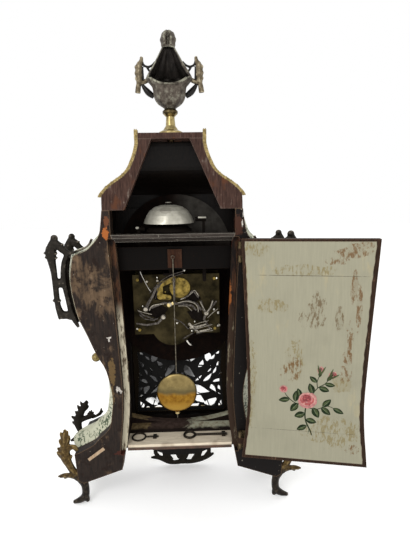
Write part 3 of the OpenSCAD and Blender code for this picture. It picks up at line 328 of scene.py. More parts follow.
class Finish:
    """A Principled material with short names for the nodes that drive it."""

    def __init__(self, name, roughness=0.5, metallic=0.0, shine=0.5):
        self.material = bpy.data.materials.new(name)
        self.material.use_nodes = True
        self.tree = self.material.node_tree
        self.shader = self.tree.nodes["Principled BSDF"]
        self.set("Roughness", roughness)
        self.set("Metallic", metallic)
        self.set("Specular IOR Level", shine)
        self.where = self.node("TexCoord", "Object")
        self.shown = None

    def feed(self, socket, value):
        """Links a signal to a socket, or sets the socket to a number or colour."""
        if isinstance(value, Signal):
            self.tree.links.new(value.socket, socket)
        elif socket.type == "RGBA":
            socket.default_value = (*value, 1)
        else:
            socket.default_value = value

    def set(self, name, value):
        self.feed(self.shader.inputs[name], value)

    def node(self, kind, output, inputs=(), **settings):
        made = self.tree.nodes.new("ShaderNode" + kind)
        for key, value in settings.items():
            setattr(made, key, value)
        for key, value in dict(inputs).items():
            self.feed(made.inputs[key], value)
        return Signal(self, made.outputs[output])

    def maths(self, operation, a, b=0.0):
        return self.node("Math", 0, {0: a, 1: b}, operation=operation)

    def stretched(self, scale, shift=(0, 0, 0), turn=(0, 0, 0)):
        return self.node("Mapping", "Vector", {"Vector": self.where, "Scale": scale, "Location": shift,
                                               "Rotation": turn})

    def noise(self, size, detail, rough, vector=None, distortion=0.0):
        """Noise whose blotches are about size millimetres wide."""
        return self.node("TexNoise", "Fac", {"Vector": vector or self.where, "Scale": 1 / (size * MM),
                                             "Detail": detail, "Roughness": rough, "Distortion": distortion})

    def step(self, value, start, end):
        """0 below start and 1 above end, with a soft change between."""
        return self.node("MapRange", "Result", {"Value": value, "From Min": start, "From Max": end},
                         interpolation_type="SMOOTHSTEP", clamp=True)

    def part(self, axis):
        """The X, Y or Z coordinate in metres."""
        return self.node("SeparateXYZ", axis, {0: self.where})

    def facing(self, axis):
        """1 on faces that look along an axis, -1 on those that look against it."""
        return self.node("SeparateXYZ", axis, {0: self.node("NewGeometry", "Normal")})

    def ramp(self, value, *stops):
        """Turns a signal into colours by (place, colour) stops."""
        made = self.node("ValToRGB", 0, {0: value})
        line = made.socket.node.color_ramp
        while len(line.elements) < len(stops):
            line.elements.new(0.5)
        for spot, (at, colour) in zip(line.elements, stops):
            spot.position = at
            spot.color = (*colour, 1)
        return made

    def blend(self, share, a, b):
        return self.node("Mix", 2, {0: share, 6: a, 7: b}, data_type="RGBA")

    def cover(self, share, tone):
        """Lays a tone over the colour so far, where and as much as share says."""
        self.shown = self.blend(share, self.shown, tone)

    def edges(self, radius):
        """High on edges, where the bevelled normal leaves the true one."""
        bevel = self.node("Bevel", 0, {"Radius": radius * MM}, samples=4)
        true = self.node("NewGeometry", "Normal")
        return 1.0 - self.node("VectorMath", "Value", {0: bevel, 1: true}, operation="DOT_PRODUCT")

    def ridges(self, cloud, sway, start):
        """1 on the crests of a casting, with a border that the cloud makes uneven."""
        crest = self.node("NewGeometry", "Pointiness")
        return self.step(crest + (cloud - 0.5) * sway, start, start + 0.07)

    def patch(self, x, z, wide, tall, rag, size):
        """1 inside a ragged oval of the back view, 0 outside it."""
        across = (self.part("X") - x * MM) * (1 / (wide * MM))
        up = (self.part("Z") - z * MM) * (1 / (tall * MM))
        uneven = (self.noise(size, 5, 0.7) - 0.5) * (4 * rag)
        return 1.0 - self.step(across * across + up * up + uneven, 0.75, 1.1)

    def inward(self, axis):
        """1 on faces that look into the case: towards x = 0, or towards the back."""
        if axis == "Y":
            return self.step(self.facing("Y"), -0.5, -0.3)
        return self.step(self.part("X") * self.facing("X") * -1.0, -0.002, 0.004)

    def rough_by(self, value, *stops):
        """Lets the roughness follow a signal by (place, roughness) stops."""
        self.set("Roughness", self.ramp(value, *[(at, (rough,) * 3) for at, rough in stops]))

    def bump(self, height, strength, distance):
        self.set("Normal", self.node("Bump", 0, {"Strength": strength, "Distance": distance * MM,
                                                 "Height": height}))

    def done(self):
        self.set("Base Color", self.shown)
        return self.material


# Woods and paints

def worn_wood(name, dark, mid, bare, wear=0.5, grain="Z", patch=22.0, glow=None, seed=0.0):
    """Stained wood whose stain is rubbed and flaked away in patches and on the edges."""
    f = Finish(name, 0.55, 0.0, 0.07)
    lean = {"Z": (1, 1, 0.12), "X": (0.12, 1, 1)}[grain]
    fibre = f.stretched(lean, (seed, seed, seed))
    streak = f.noise(2.2, 6, 0.65, fibre)
    fine = f.noise(0.7, 4, 0.7, fibre)
    blotch = f.noise(patch, 5, 0.62, f.stretched((1, 1, 0.6), (seed, 0, seed)), 0.6)
    worn = f.step(blotch * 0.75 + streak * 0.3, 0.66 - 0.16 * wear, 0.74 - 0.13 * wear)
    rub = f.step(f.edges(1.6) + fine * 0.12, 0.1, 0.26)
    bared = f.ramp(fine, (0.25, shade(bare, 0.6)), (0.8, bare))
    f.shown = f.ramp(streak, (0.3, dark), (0.72, mid))
    f.cover(worn * 0.85, bared)
    f.cover(rub * 0.7, bared)
    if glow:
        spot = f.noise(patch * 1.6, 3, 0.5, f.stretched((1, 1, 0.5), (seed + 3, 1, 7)))
        f.cover(f.step(spot, 0.6, 0.7) * 0.8, glow)
    f.rough_by(streak, (0.2, 0.42), (0.8, 0.72))
    f.bump(streak * 0.7 + worn * -0.5, 0.5, 0.35)
    return f.done()


def stile_wood(name):
    """Near-black stain over the rear stiles, rubbed to tan on the belly and down the outer edge."""
    f = Finish(name, 0.55, 0.0, 0.1)
    x, y, z = (f.part(axis) for axis in "XYZ")
    fibre = f.stretched((1, 1, 0.14), (1.3, 1.3, 1.3))
    streak = f.noise(2.4, 6, 0.65, fibre)
    cloud = f.noise(24, 5, 0.6, f.stretched((1, 1, 0.75), (0.4, 0, 0.9)), 0.5)
    f.shown = f.ramp(streak, (0.3, (0.007, 0.0055, 0.005)), (0.78, (0.034, 0.022, 0.016)))
    belly = f.step(z, 0.29, 0.34) * (1.0 - f.step(z, 0.405, 0.44))
    worn = f.step(cloud + streak * 0.16 + f.step(x, 0.02, 0.05) * belly * 0.17, 0.66, 0.83)
    tan = f.noise(9, 5, 0.65, fibre)
    f.cover(worn * 0.85, f.ramp(tan, (0.3, (0.045, 0.028, 0.016)), (0.7, (0.17, 0.11, 0.064))))
    spots = f.noise(11, 5, 0.7, f.stretched((1, 1, 0.8), (6, 1, 2)))
    f.cover(f.step(spots, 0.53, 0.62) * 0.8, (0.012, 0.006, 0.004))
    f.cover((1.0 - f.step(x, -0.05, -0.02)) * 0.88, (0.004, 0.0032, 0.003))
    rub = f.step(f.edges(2.6) + f.noise(5, 4, 0.7) * 0.26, 0.2, 0.3)
    outer = f.step(x, 0.118, 0.13) * f.step(z, 0.27, 0.31)
    f.cover(rub * 0.8, f.blend(outer, (0.15, 0.09, 0.048), (0.42, 0.38, 0.27)))
    flecks = f.noise(3.2, 3, 0.5, f.stretched((1, 1, 0.7), (7, 2, 5)))
    f.cover(f.step(flecks, 0.71, 0.77) * 0.75, (0.33, 0.29, 0.23))
    for at_x, at_z, wide, tall, tint in STILE_MARKS:
        f.cover(f.patch(at_x, at_z, wide, tall, 1.2, 4) * 0.85, tint)
    seat = f.step(f.facing("Y"), 0.5, 0.7) * (1.0 - f.step(y, (BACK_Y - 11) * MM, (BACK_Y - 9) * MM))
    grime = f.noise(7, 6, 0.72, f.stretched((1, 1, 0.22)))
    cream = f.blend(f.step(grime, 0.38, 0.5), (0.08, 0.055, 0.034), (0.5, 0.45, 0.33))
    brown = f.blend(f.step(grime, 0.56, 0.66), (0.035, 0.02, 0.012), (0.2, 0.17, 0.11))
    seat_low = f.blend(f.step(x, -0.01, 0.01), brown, cream)
    seat_high = f.blend(f.step(grime, 0.42, 0.6), (0.008, 0.005, 0.004), (0.07, 0.03, 0.014))
    f.cover(seat * 0.95, f.blend(1.0 - f.step(z, 0.31, 0.35), seat_high, seat_low))
    f.cover(f.patch(-82, 356, 4.5, 22, 1.2, 5) * 0.9, (0.27, 0.085, 0.02))
    f.rough_by(streak, (0.2, 0.45), (0.8, 0.72))
    f.bump(streak * 0.7 + worn * -0.5, 0.5, 0.35)
    return f.done()


def pale_board(name):
    """Bare planed floor with stains, its rear edge rubbed dark and its faces that look down painted dark as
    shade.
    """
    f = Finish(name, 0.8, 0.0, 0.2)
    streak = f.noise(1.6, 6, 0.65, f.stretched((0.08, 1, 1)))
    f.shown = f.ramp(streak, (0.3, (0.5, 0.42, 0.31)), (0.6, (0.7, 0.61, 0.47)), (0.85, (0.78, 0.71, 0.56)))
    f.cover(f.step(f.noise(26, 4, 0.6), 0.5, 0.72) * 0.6, (0.3, 0.23, 0.16))
    top = high("bottom_board").z
    edge = f.step(f.facing("Y"), 0.3, 0.7) * (1.0 - f.step(f.part("Z"), (top - 6) * MM, (top - 3) * MM))
    # painted shade: faces that look down
    below = 1.0 - f.step(f.facing("Z"), -0.4, 0.0)
    # worn here colours both the rubbed rear edge and the painted shade underneath
    worn = f.ramp(f.noise(12, 4, 0.6), (0.35, (0.022, 0.012, 0.009)), (0.7, (0.085, 0.035, 0.022)))
    f.cover(f.maths("MAXIMUM", edge, below) * 0.95, worn)
    f.bump(streak, 0.4, 0.25)
    return f.done()


def old_paint(name, tone=(0.5, 0.5, 0.37), foliage=0.0, wear=0.3, inside=None, marks=()):
    """Cream-green paint, streaked by the brush, chipped to brown wood and yellowed in places. Where inside
    names an axis, the faces that look into the case are painted near black as shade.
    """
    f = Finish(name, 0.42, 0.0, 0.12)
    brush = f.noise(2.4, 5, 0.6, f.stretched((1, 1, 0.07)))
    warm = f.noise(30, 5, 0.65, f.stretched((1, 1, 0.35), (4, 2, 9)))
    f.shown = f.ramp(brush, (0.3, shade(tone, 0.93)), (0.7, shade(tone, 1.04)))
    f.cover(f.step(f.noise(48, 4, 0.55), 0.45, 0.75) * 0.35, shade(tone, 0.78))
    f.cover(f.step(warm, 0.56, 0.78) * 0.6, (0.42, 0.34, 0.17))
    chips = f.noise(7, 7, 0.78, f.stretched((1, 1, 0.3), (1, 5, 2)))
    where = f.noise(60, 3, 0.5, f.stretched((1, 1, 0.7), (8, 3, 1)))
    bare = f.step(chips + where * 0.35, 0.9 - 0.1 * wear, 0.93 - 0.09 * wear)
    f.cover(bare * 0.8, (0.16, 0.095, 0.045))
    f.cover(f.step(f.edges(1.5) + chips * 0.15, 0.14, 0.22) * 0.85, (0.13, 0.08, 0.045))
    if foliage:
        frond = f.noise(7, 3, 0.6, f.stretched((1, 0.6, 1.5), (2, 2, 2), (0.5, 0.3, 0.6)), 1.2)
        clump = f.noise(46, 2, 0.5, f.stretched((1, 1, 1), (3, 0, 2)))
        f.cover(f.step(frond, 0.51, 0.57) * f.step(clump, 0.42, 0.5) * foliage, (0.04, 0.065, 0.03))
    fleck = f.step(f.noise(4.2, 6, 0.75, f.stretched((1, 1, 0.34), (3, 8, 5))), 0.47, 0.57)
    for x, z, wide, tall, dense, tint in marks:
        f.cover(f.patch(x, z, wide, tall, 0.9, 14) * f.maths("MAXIMUM", fleck, dense) * 0.9, tint)
    if inside:
        # painted shade: faces that look into the case made near black
        dark = f.ramp(brush, (0.3, (0.0015, 0.0012, 0.001)), (0.75, (0.008, 0.005, 0.0035)))
        f.cover(f.inward(inside), dark)
    f.rough_by(bare, (0.0, 0.4), (1.0, 0.8))
    f.bump(brush * 0.3 + bare * -0.8, 0.4, 0.25)
    return f.done()


def dial_back(name):
    """Back of the dial board: painted near black as shadow, with a painted pool of light on its upper right,
    grey and scuffed.
    """
    f = Finish(name, 0.8, 0.0, 0.06)
    cloud = f.noise(9, 5, 0.6)
    # painted light: the grey patch on the upper right
    lit = f.step(f.part("Z"), 0.41, 0.46) * (1.0 - f.step(f.part("X"), -0.03, 0.012))
    # painted shadow: near black everywhere else
    f.shown = f.ramp(cloud, (0.3, (0.0022, 0.0013, 0.001)), (0.7, (0.008, 0.0035, 0.002)))
    f.cover(lit, f.ramp(cloud, (0.3, (0.024, 0.021, 0.018)), (0.7, (0.05, 0.046, 0.04))))
    f.bump(f.noise(1.4, 4, 0.6), 0.2, 0.15)
    return f.done()


def lining_wood(name):
    """Lining painted near black as shade, except on the upward faces of its lower front, which are still
    painted on one side and bare on the other.
    """
    f = Finish(name, 0.7, 0.0, 0.1)
    streak = f.noise(3, 6, 0.65, f.stretched((0.15, 1, 1)))
    slope = f.step(f.facing("Z"), 0.2, 0.5) * (1.0 - f.step(f.part("Y"), 0.0, 0.006))
    drift = (f.noise(12, 4, 0.6) - 0.5) * 0.06
    across = f.part("X") + drift
    mottle = f.noise(8, 5, 0.65)
    f.shown = f.ramp(mottle, (0.34, (0.2, 0.15, 0.1)), (0.52, (0.4, 0.39, 0.28)), (0.75, (0.5, 0.52, 0.39)))
    bare = f.ramp(f.noise(7, 5, 0.65), (0.3, (0.025, 0.015, 0.011)), (0.7, (0.075, 0.05, 0.04)))
    f.cover(f.step(across, -0.022, -0.01), bare)
    f.cover(f.step(across, 0.052, 0.06), f.ramp(mottle, (0.3, (0.07, 0.045, 0.02)), (0.7, (0.3, 0.22, 0.11))))
    f.cover(f.step(f.part("Y") + drift * 0.3, -0.012, -0.003), (0.014, 0.009, 0.007))
    # painted shade: near black over all but the upward faces at the front
    painted_shade = f.ramp(streak, (0.3, (0.004, 0.0026, 0.002)), (0.75, (0.022, 0.012, 0.009)))
    f.shown = f.blend(slope * 0.97, painted_shade, f.shown)
    f.bump(streak, 0.4, 0.3)
    return f.done()


# Metals, glass and enamel

def dark_backed(name, bright, dull):
    """Gilt metal on the front; its back faces, which look towards the rear of the clock, are painted dark and
    dull as shade.
    """
    f = Finish(name, 0.3, 1.0)
    back = f.step(f.facing("Y"), 0.2, 0.5)
    f.shown = f.ramp(f.noise(7, 5, 0.6), (0.3, dull), (0.65, bright))
    # painted shade: the back faces made dark
    f.cover(back, (0.02, 0.015, 0.01))
    f.rough_by(back, (0.0, 0.28), (1.0, 0.7))
    f.bump(f.noise(0.9, 4, 0.6), 0.12, 0.15)
    return f.done()


def metal(name, dull, bright, roughness=0.35, spots=6.0, tarnish=None, share=0.5):
    """Polished or handled metal with tarnish in blotches."""
    f = Finish(name, roughness, 1.0)
    cloud = f.noise(spots, 5, 0.62)
    f.shown = f.ramp(cloud, (0.3, dull), (0.62, bright))
    if tarnish:
        spread = f.noise(spots * 1.7, 6, 0.7, f.stretched((1, 1, 1), (5, 5, 5)))
        f.cover(f.step(spread, 0.62 - 0.2 * share, 0.75), tarnish)
    f.rough_by(cloud, (0.25, min(1, roughness + 0.22)), (0.7, roughness))
    f.bump(f.noise(0.8, 4, 0.6), 0.15, 0.15)
    return f.done()


def cast_bronze(name, deep, rubbed, roughness, crest):
    """Cast metal, dark in its hollows and bright where it is rubbed."""
    f = Finish(name, roughness, 0.9)
    cloud = f.noise(7, 5, 0.65)
    pit = f.noise(1.1, 5, 0.65)
    f.shown = f.ramp(cloud, (0.3, shade(deep, 0.55)), (0.7, deep))
    f.cover(f.ridges(cloud, 0.16, crest), rubbed)
    f.rough_by(pit, (0.3, roughness + 0.25), (0.7, roughness))
    f.bump(pit + cloud * 0.8, 0.5, 0.4)
    return f.done()


def foot_bronze(name):
    """Bronze of the rear feet: golden brown leaf, nearly black leg."""
    f = Finish(name, 0.42, 0.85)
    cloud = f.noise(6, 5, 0.65)
    ridge = f.ridges(cloud, 0.2, 0.5)
    deep = f.ramp(cloud, (0.3, (0.026, 0.015, 0.005)), (0.7, (0.12, 0.074, 0.024)))
    f.shown = f.blend(ridge, (0.012, 0.009, 0.007), (0.07, 0.055, 0.038))
    f.cover(f.step(f.part("Z") + cloud * 0.02, 0.052, 0.078), f.blend(ridge, deep, (0.21, 0.145, 0.055)))
    f.bump(f.noise(1.1, 5, 0.65) + cloud, 0.5, 0.4)
    return f.done()


def pedestal_brass(name):
    """Worn yellow brass with a blackened collar under the urn, and painted shade, near black, on the part
    inside the hat.
    """
    f = Finish(name, 0.36, 1.0)
    top = high("finial_pedestal").z
    hat_top = high("hat_back_frame").z
    uneven = (f.noise(9, 3, 0.5) - 0.5) * 0.008
    collar = f.step(f.part("Z") + uneven, (top - 9) * MM, (top - 6) * MM)
    # painted shade: the part below the top of the hat
    inside = 1.0 - f.step(f.part("Z"), (hat_top - 0.4) * MM, hat_top * MM)
    f.shown = f.ramp(f.noise(6, 5, 0.6), (0.3, (0.2, 0.145, 0.055)), (0.65, (0.46, 0.37, 0.17)))
    f.cover(f.maths("MAXIMUM", collar * 0.85, inside), (0.03, 0.018, 0.009))
    f.bump(f.noise(1.0, 4, 0.6), 0.15, 0.15)
    return f.done()


def carved_gilt(name):
    """Old gilding, pale on the crests and dirty in the hollows."""
    f = Finish(name, 0.5, 0.75)
    cloud = f.noise(4, 5, 0.65)
    gold = f.ramp(cloud, (0.35, (0.12, 0.085, 0.03)), (0.68, (0.38, 0.29, 0.12)))
    f.shown = f.blend(f.ridges(cloud, 0.25, 0.46), (0.035, 0.026, 0.014), gold)
    f.bump(cloud, 0.4, 0.4)
    return f.done()


def urn_casting(name):
    """Rough half casting: grey-green and rubbed outside, its hollow painted almost black as shade."""
    f = Finish(name, 0.55, 0.5, 0.25)
    cloud = f.noise(8, 5, 0.65)
    outward = f.part("X") * f.facing("X") + (f.part("Y") - URN_Y * MM) * f.facing("Y")
    f.shown = f.ramp(cloud, (0.34, (0.034, 0.027, 0.02)), (0.5, (0.08, 0.064, 0.05)),
                     (0.7, (0.15, 0.13, 0.105)))
    f.cover(f.ridges(cloud, 0.16, 0.5), (0.33, 0.33, 0.25))
    # painted shade: near black on the faces that look into the hollow
    painted_shade = f.noise(9, 3, 0.6, f.stretched((1, 1, 0.25)))
    f.cover((1.0 - f.step(outward, -0.004, 0.001)) * 0.93,
            f.ramp(painted_shade, (0.35, (0.006, 0.005, 0.0045)), (0.7, (0.034, 0.028, 0.024))))
    f.bump(f.noise(1.2, 5, 0.65) + cloud * 0.8, 0.5, 0.4)
    return f.done()


def bell_silver(name):
    """Turned pewter-grey bell with a soft turned grain and a dent's smudge."""
    f = Finish(name, 0.36, 0.45)
    smudge = f.noise(9, 4, 0.6)
    f.shown = f.ramp(smudge, (0.3, (0.32, 0.305, 0.25)), (0.62, (0.45, 0.43, 0.36)))
    f.cover(f.patch(11, high("upper_bell").z - 8, 9, 5, 0.5, 4) * 0.55, (0.2, 0.185, 0.15))
    f.rough_by(smudge, (0.3, 0.48), (0.65, 0.32))
    f.bump(f.noise(0.9, 3, 0.6, f.stretched((0.05, 0.05, 1))), 0.08, 0.1)
    return f.done()


def bob_metal(name):
    """Pendulum bob: grey above a dark line and darker towards its top, gold below, and brightest yellow at
    its foot.
    """
    f = Finish(name, 0.3, 1.0)
    centre = middle("pendulum_bob").z
    line = f.part("Z") + f.noise(16, 4, 0.6) * 0.008

    def above(start, end):
        return f.step(line, (centre + start) * MM, (centre + end) * MM)

    gold = f.ramp(f.noise(6, 5, 0.65), (0.35, (0.17, 0.075, 0.01)), (0.7, (0.31, 0.165, 0.022)))
    grey = f.ramp(f.noise(8, 4, 0.6), (0.3, (0.17, 0.125, 0.05)), (0.7, (0.28, 0.21, 0.085)))
    grey = f.blend(above(4, 22), (0.095, 0.075, 0.034), grey)
    band = f.step(f.maths("ABSOLUTE", line - (centre + 4) * MM), 0.0, 0.006)
    split = above(0.5, 8)
    f.shown = f.blend(above(-24, -6), (0.38, 0.22, 0.04), gold)
    f.cover(split, f.blend(1.0 - band, grey, (0.12, 0.09, 0.04)))
    f.rough_by(split, (0.0, 0.3), (1.0, 0.42))
    f.bump(f.noise(1.2, 4, 0.6), 0.12, 0.15)
    return f.done()


def grey_film_glass(name):
    """Clear front glass, with a dark grey, nearly opaque film over the part that the photograph shows as
    grey.
    """
    f = Finish(name, 0.06)
    drift = (f.noise(30, 3, 0.5) - 0.5) * 0.05
    across = f.step(f.part("X") + drift, -0.036, -0.012)
    up = f.step(f.part("Z") + drift, 0.126, 0.15)
    film = across * up * (1.0 - f.step(f.part("Z"), 0.222, 0.232))
    film_mottle = f.noise(20, 3, 0.5)
    tone = f.ramp(film_mottle, (0.35, (0.03, 0.03, 0.03)), (0.7, (0.11, 0.11, 0.108)))
    f.shown = f.blend(film, (0.8, 0.82, 0.81), tone)
    dense = f.ramp(film_mottle, (0.35, (0.97, 0.97, 0.97)), (0.7, (0.84, 0.84, 0.84)))
    f.set("Alpha", f.blend(film, (0.05, 0.05, 0.05), dense))
    return f.done()


def enamel(name):
    """White enamel with a net of fine cracks."""
    f = Finish(name, 0.12)
    crack = f.node("TexVoronoi", "Distance", {"Vector": f.where, "Scale": 1 / (22 * MM)},
                   feature="DISTANCE_TO_EDGE")
    f.shown = f.blend(f.step(crack, 0.0, 0.012), (0.62, 0.58, 0.5), (0.85, 0.84, 0.78))
    f.set("Coat Weight", 0.4)
    return f.done()


def plain(name, tone, roughness=0.5, metallic=0.0, vary=0.25, size=5.0, shine=0.5):
    """A small part's finish: one tone, mottled by vary."""
    f = Finish(name, roughness, metallic, shine)
    f.shown = f.ramp(f.noise(size, 5, 0.6), (0.3, shade(tone, 1 - vary)), (0.7, shade(tone, 1 + vary)))
    f.bump(f.noise(size / 4, 4, 0.6), 0.2, 0.15)
    return f.done()


# Marks on the rear stiles: x, z, half width, half height and tone

STILE_MARKS = ((99, 453, 5, 9, (0.34, 0.1, 0.022)), (97, 470, 4, 7, (0.12, 0.045, 0.02)),
               (-84, 341, 3.4, 19, (0.3, 0.085, 0.018)), (-97, 462, 7, 16, (0.05, 0.02, 0.012)),
               (-90, 436, 9, 9, (0.06, 0.018, 0.01)), (92, 96, 12, 4, (0.05, 0.013, 0.008)),
               (102, 238, 5, 24, (0.12, 0.075, 0.03)), (104, 196, 4, 16, (0.1, 0.065, 0.03)))
STAIN = (0.13, 0.07, 0.028)
OCHRE = (0.19, 0.155, 0.075)
SOOT = (0.075, 0.062, 0.042)
UMBER = (0.12, 0.085, 0.045)

# Marks on the cream paint of the door: x, z, half width, half height, how dense, and tone
DOOR_MARKS = ((-250, 424, 26, 7, 0.1, STAIN), (-262, 434, 16, 5, 0.1, STAIN), (-228, 412, 20, 5, 0, STAIN),
              (-254, 372, 5, 26, 0.25, STAIN), (-262, 344, 4, 34, 0.1, STAIN), (-252, 300, 5, 24, 0, STAIN),
              (-250, 268, 7, 12, 0.1, STAIN), (-244, 228, 14, 14, 0.35, OCHRE),
              (-142, 345, 22, 12, 0.1, OCHRE), (-118, 428, 22, 10, 0.1, OCHRE),
              (-206, 340, 13, 26, 0, UMBER), (-236, 326, 6, 20, 0.1, UMBER), (-187, 326, 7, 14, 0, UMBER),
              (-188, 398, 44, 9, 0, OCHRE), (-176, 262, 14, 34, 0.05, OCHRE), (-262, 124, 10, 8, 0, STAIN),
              (-174, 250, 12, 20, 0, STAIN), (-248, 244, 8, 14, 0, STAIN), (-104, 300, 5, 110, 0.3, OCHRE),
              (-112, 220, 9, 70, 0.2, OCHRE), (-232, 150, 40, 26, 0, OCHRE),
              (-196, 390.5, 84, 0.5, 1, SOOT), (-190, 148, 80, 0.4, 0.5, SOOT))

looks = {
    "case_wood": stile_wood("stained stiles"),
    "rail_wood": worn_wood("dusty rail", (0.014, 0.011, 0.009), (0.062, 0.05, 0.042), (0.42, 0.39, 0.33),
                           0.12, "X", 9),
    "floor_wood": pale_board("pale floor"),
    # inner boards: near-black colours that are painted shade for the inside of the case
    "inner_wood": worn_wood("inner boards in painted shade", (0.001, 0.0007, 0.0005), (0.004, 0.0022, 0.0014),
                            (0.02, 0.01, 0.005), 0.12),
    "block_wood": worn_wood("reddish block", (0.016, 0.006, 0.0035), (0.045, 0.018, 0.009),
                            (0.07, 0.035, 0.02), 0.2),
    "painted_side": old_paint("painted sides", foliage=0.95, wear=0.5, inside="X"),
    "front_paint": old_paint("painted front", inside="Y"),
    "hat_wood": worn_wood("hat frame", (0.018, 0.009, 0.007), (0.075, 0.04, 0.03), (0.17, 0.13, 0.105),
                          0.42, "Z", 12, (0.085, 0.032, 0.015), 4.2),
    "hat_paint": old_paint("painted hat", inside="X"),
    "hat_front": old_paint("painted hat front", inside="Y"),
    "dial_iron": dial_back("dial board"),
    "gilt_brass": metal("gilt brass", (0.24, 0.17, 0.07), (0.56, 0.45, 0.22), 0.36, 5,
                        (0.09, 0.065, 0.03), 0.4),
    "door_brass": dark_backed("front door brass", (0.8, 0.62, 0.3), (0.46, 0.33, 0.13)),
    "hinge_brass": metal("hinge brass", (0.05, 0.036, 0.02), (0.16, 0.12, 0.065), 0.5, 5),
    "movement_brass": metal("movement brass", (0.06, 0.042, 0.01), (0.31, 0.22, 0.055), 0.3, 7,
                            (0.024, 0.018, 0.008), 0.9),
    "plate_brass": metal("dark plates", (0.016, 0.013, 0.007), (0.055, 0.043, 0.02), 0.6, 22,
                         (0.01, 0.009, 0.005), 0.5),
    "bob_brass": bob_metal("bob"),
    "bronze": foot_bronze("dark bronze"),
    "urn_metal": urn_casting("urn casting"),
    "bell_metal": bell_silver("bell"),
    "black_steel": plain("blackened steel", (0.014, 0.013, 0.012), 0.38, 0.8),
    "lever_steel": metal("lever steel", (0.012, 0.01, 0.009), (0.13, 0.115, 0.1), 0.36, 3,
                         (0.008, 0.007, 0.006), 0.75),
    "rod_steel": metal("pendulum rod", (0.045, 0.038, 0.028), (0.2, 0.175, 0.13), 0.35, 4),
    "screw_steel": metal("bright steel", (0.12, 0.105, 0.08), (0.45, 0.41, 0.34), 0.3, 3),
    "bright_steel": metal("pins and wires", (0.25, 0.23, 0.2), (0.78, 0.75, 0.68), 0.25, 2.5),
    "hand_steel": plain("black hands", (0.012, 0.012, 0.014), 0.3, 0.6),
    "enamel": enamel("enamel"),
    "glass": grey_film_glass("front glass"),
    "door_paint": worn_wood("door wood", (0.01, 0.006, 0.004), (0.042, 0.021, 0.012), (0.13, 0.075, 0.045),
                            0.35, "Z", 16, None, 7.0),
    "door_cream": old_paint("door cream paint", (0.27, 0.256, 0.184), wear=0.2, marks=DOOR_MARKS),
    "key_iron": cast_bronze("old iron", (0.05, 0.04, 0.03), (0.36, 0.33, 0.27), 0.45, 0.53),
    "dark_bronze": cast_bronze("blackened bronze", (0.022, 0.018, 0.013), (0.09, 0.07, 0.045), 0.5, 0.53),
    "bracket_steel": cast_bronze("bracket metal", (0.03, 0.026, 0.021), (0.26, 0.22, 0.17), 0.42, 0.52),
    "rough_brass": cast_bronze("rough pale brass", (0.17, 0.135, 0.085), (0.52, 0.45, 0.31), 0.5, 0.502),
    "lining": lining_wood("base linings"),
    "pedestal": pedestal_brass("pedestal brass"),
    "carved": carved_gilt("carved gilding"),
    # grille: near black, painted shade for the pierced plate seen against the light
    "grille_dark": plain("grille", (0.005, 0.0045, 0.004), 0.6, 0.0, 0.4, 5, 0.15),
    "movement_gold": metal("gilt nuts", (0.45, 0.33, 0.12), (0.85, 0.68, 0.32), 0.25, 2),
    "bell": bell_silver("hammer and knob"),
    "dial_ink": plain("dial ink", (0.008, 0.008, 0.012), 0.4),
    # painted shade: near black given to parts that sit in deep shade in the hat and the movement
    "black_void": plain("black painted shade", (0.005, 0.0034, 0.0024), 0.8, 0.0, 0.4, 6, 0.06),
    "torn_white": plain("torn paper", (0.4, 0.37, 0.33), 0.8, 0.0, 0.6, 2.2, 0.1),
    "pale_wood": worn_wood("pale strip", (0.3, 0.2, 0.12), (0.45, 0.33, 0.22), (0.5, 0.4, 0.28), 0.2),
}
own_look = {"pendulum_rod": "rod_steel", "front_door_frame": "door_brass", "hat_front": "hat_front",
            "base_linings": "lining", "finial_pedestal": "pedestal", "hat_trims": "carved",
            # the bell stand, lower bell and hammers take this near black of painted shade
            "side_rosettes": "carved", "bell_stand": "black_void", "lower_bell": "black_void",
            "hammer_high": "black_void", "hammer_low": "black_void"}
soft_edges = {"case_wood": 0.6, "hat_wood": 0.8, "rail_wood": 0.8, "floor_wood": 0.5, "inner_wood": 0.5,
              "block_wood": 0.5, "gilt_brass": 0.4, "movement_brass": 0.15, "plate_brass": 0.2,
              "lever_steel": 0.2, "door_paint": 0.6, "front_paint": 0.6, "dial_iron": 0.4}


def dress_nodes():
    """Gives each CAD node its slot's material, or its own, and a small rounded edge to those whose slot is in
    soft_edges.
    """
    for row in frame["record"]["subparts"]:
        obj = nodes[row["node"]]
        slot = row["material_slot"]
        obj.data.materials.clear()
        obj.data.materials.append(looks[own_look.get(row["node"], slot)])
        shade_smooth(obj.data, 32)
        if slot in soft_edges:
            round_edges(obj, soft_edges[slot], 38)


dress_nodes()


# Castings

BACK_LEG_Y = 42
BACK_LEAF_Y = 45
BACK_MOUNT_Y = 44
FRONT_LEG_Y = -46
FRONT_LEAF_Y = -50
FRONT_MOUNT_Y = -44
FRONT_MOUNT_DROP = 6
RIB_RISE = 3.4


def strand(shape, points, y, depth, sides=8, steps=5):
    """A flattened rod through (x, z, radius) places at the depth y."""
    shape.tube([(x, y, z) for x, z, r in points], [r for x, z, r in points], sides, depth, steps)


def finger(shape, root, tip, width, y, depth=0.45):
    """One rounded lobe of an acanthus leaf, widest a little before its middle."""
    a, b = flat_pair(root, tip)[:2]
    places = [(mix(a, b, t), k) for t, k in ((0, 0.85), (0.4, 1.0), (0.75, 0.8), (1, 0.3))]
    strand(shape, [(q.x, q.y, width * k) for q, k in places], y, depth)


def fingers(shape, lobes, y):
    """Lobes given as root x and z, tip x and z, and width."""
    for x0, z0, x1, z1, width in lobes:
        finger(shape, (x0, z0), (x1, z1), width, y)


def leg(shape, y):
    """Scrolled leg with its toe, as far up as the root of the leaf."""
    strand(shape, [(172, 60, 8), (165, 47, 7.6), (160, 36, 6.6), (159, 24, 6.4), (161, 14, 6.6),
                   (169, 7, 5.4), (181, 2.9, 2.8)], y, 0.95, 10)
    strand(shape, [(160, 15, 6), (157.5, 8, 4.6), (157, 3.6, 3)], y, 0.95)


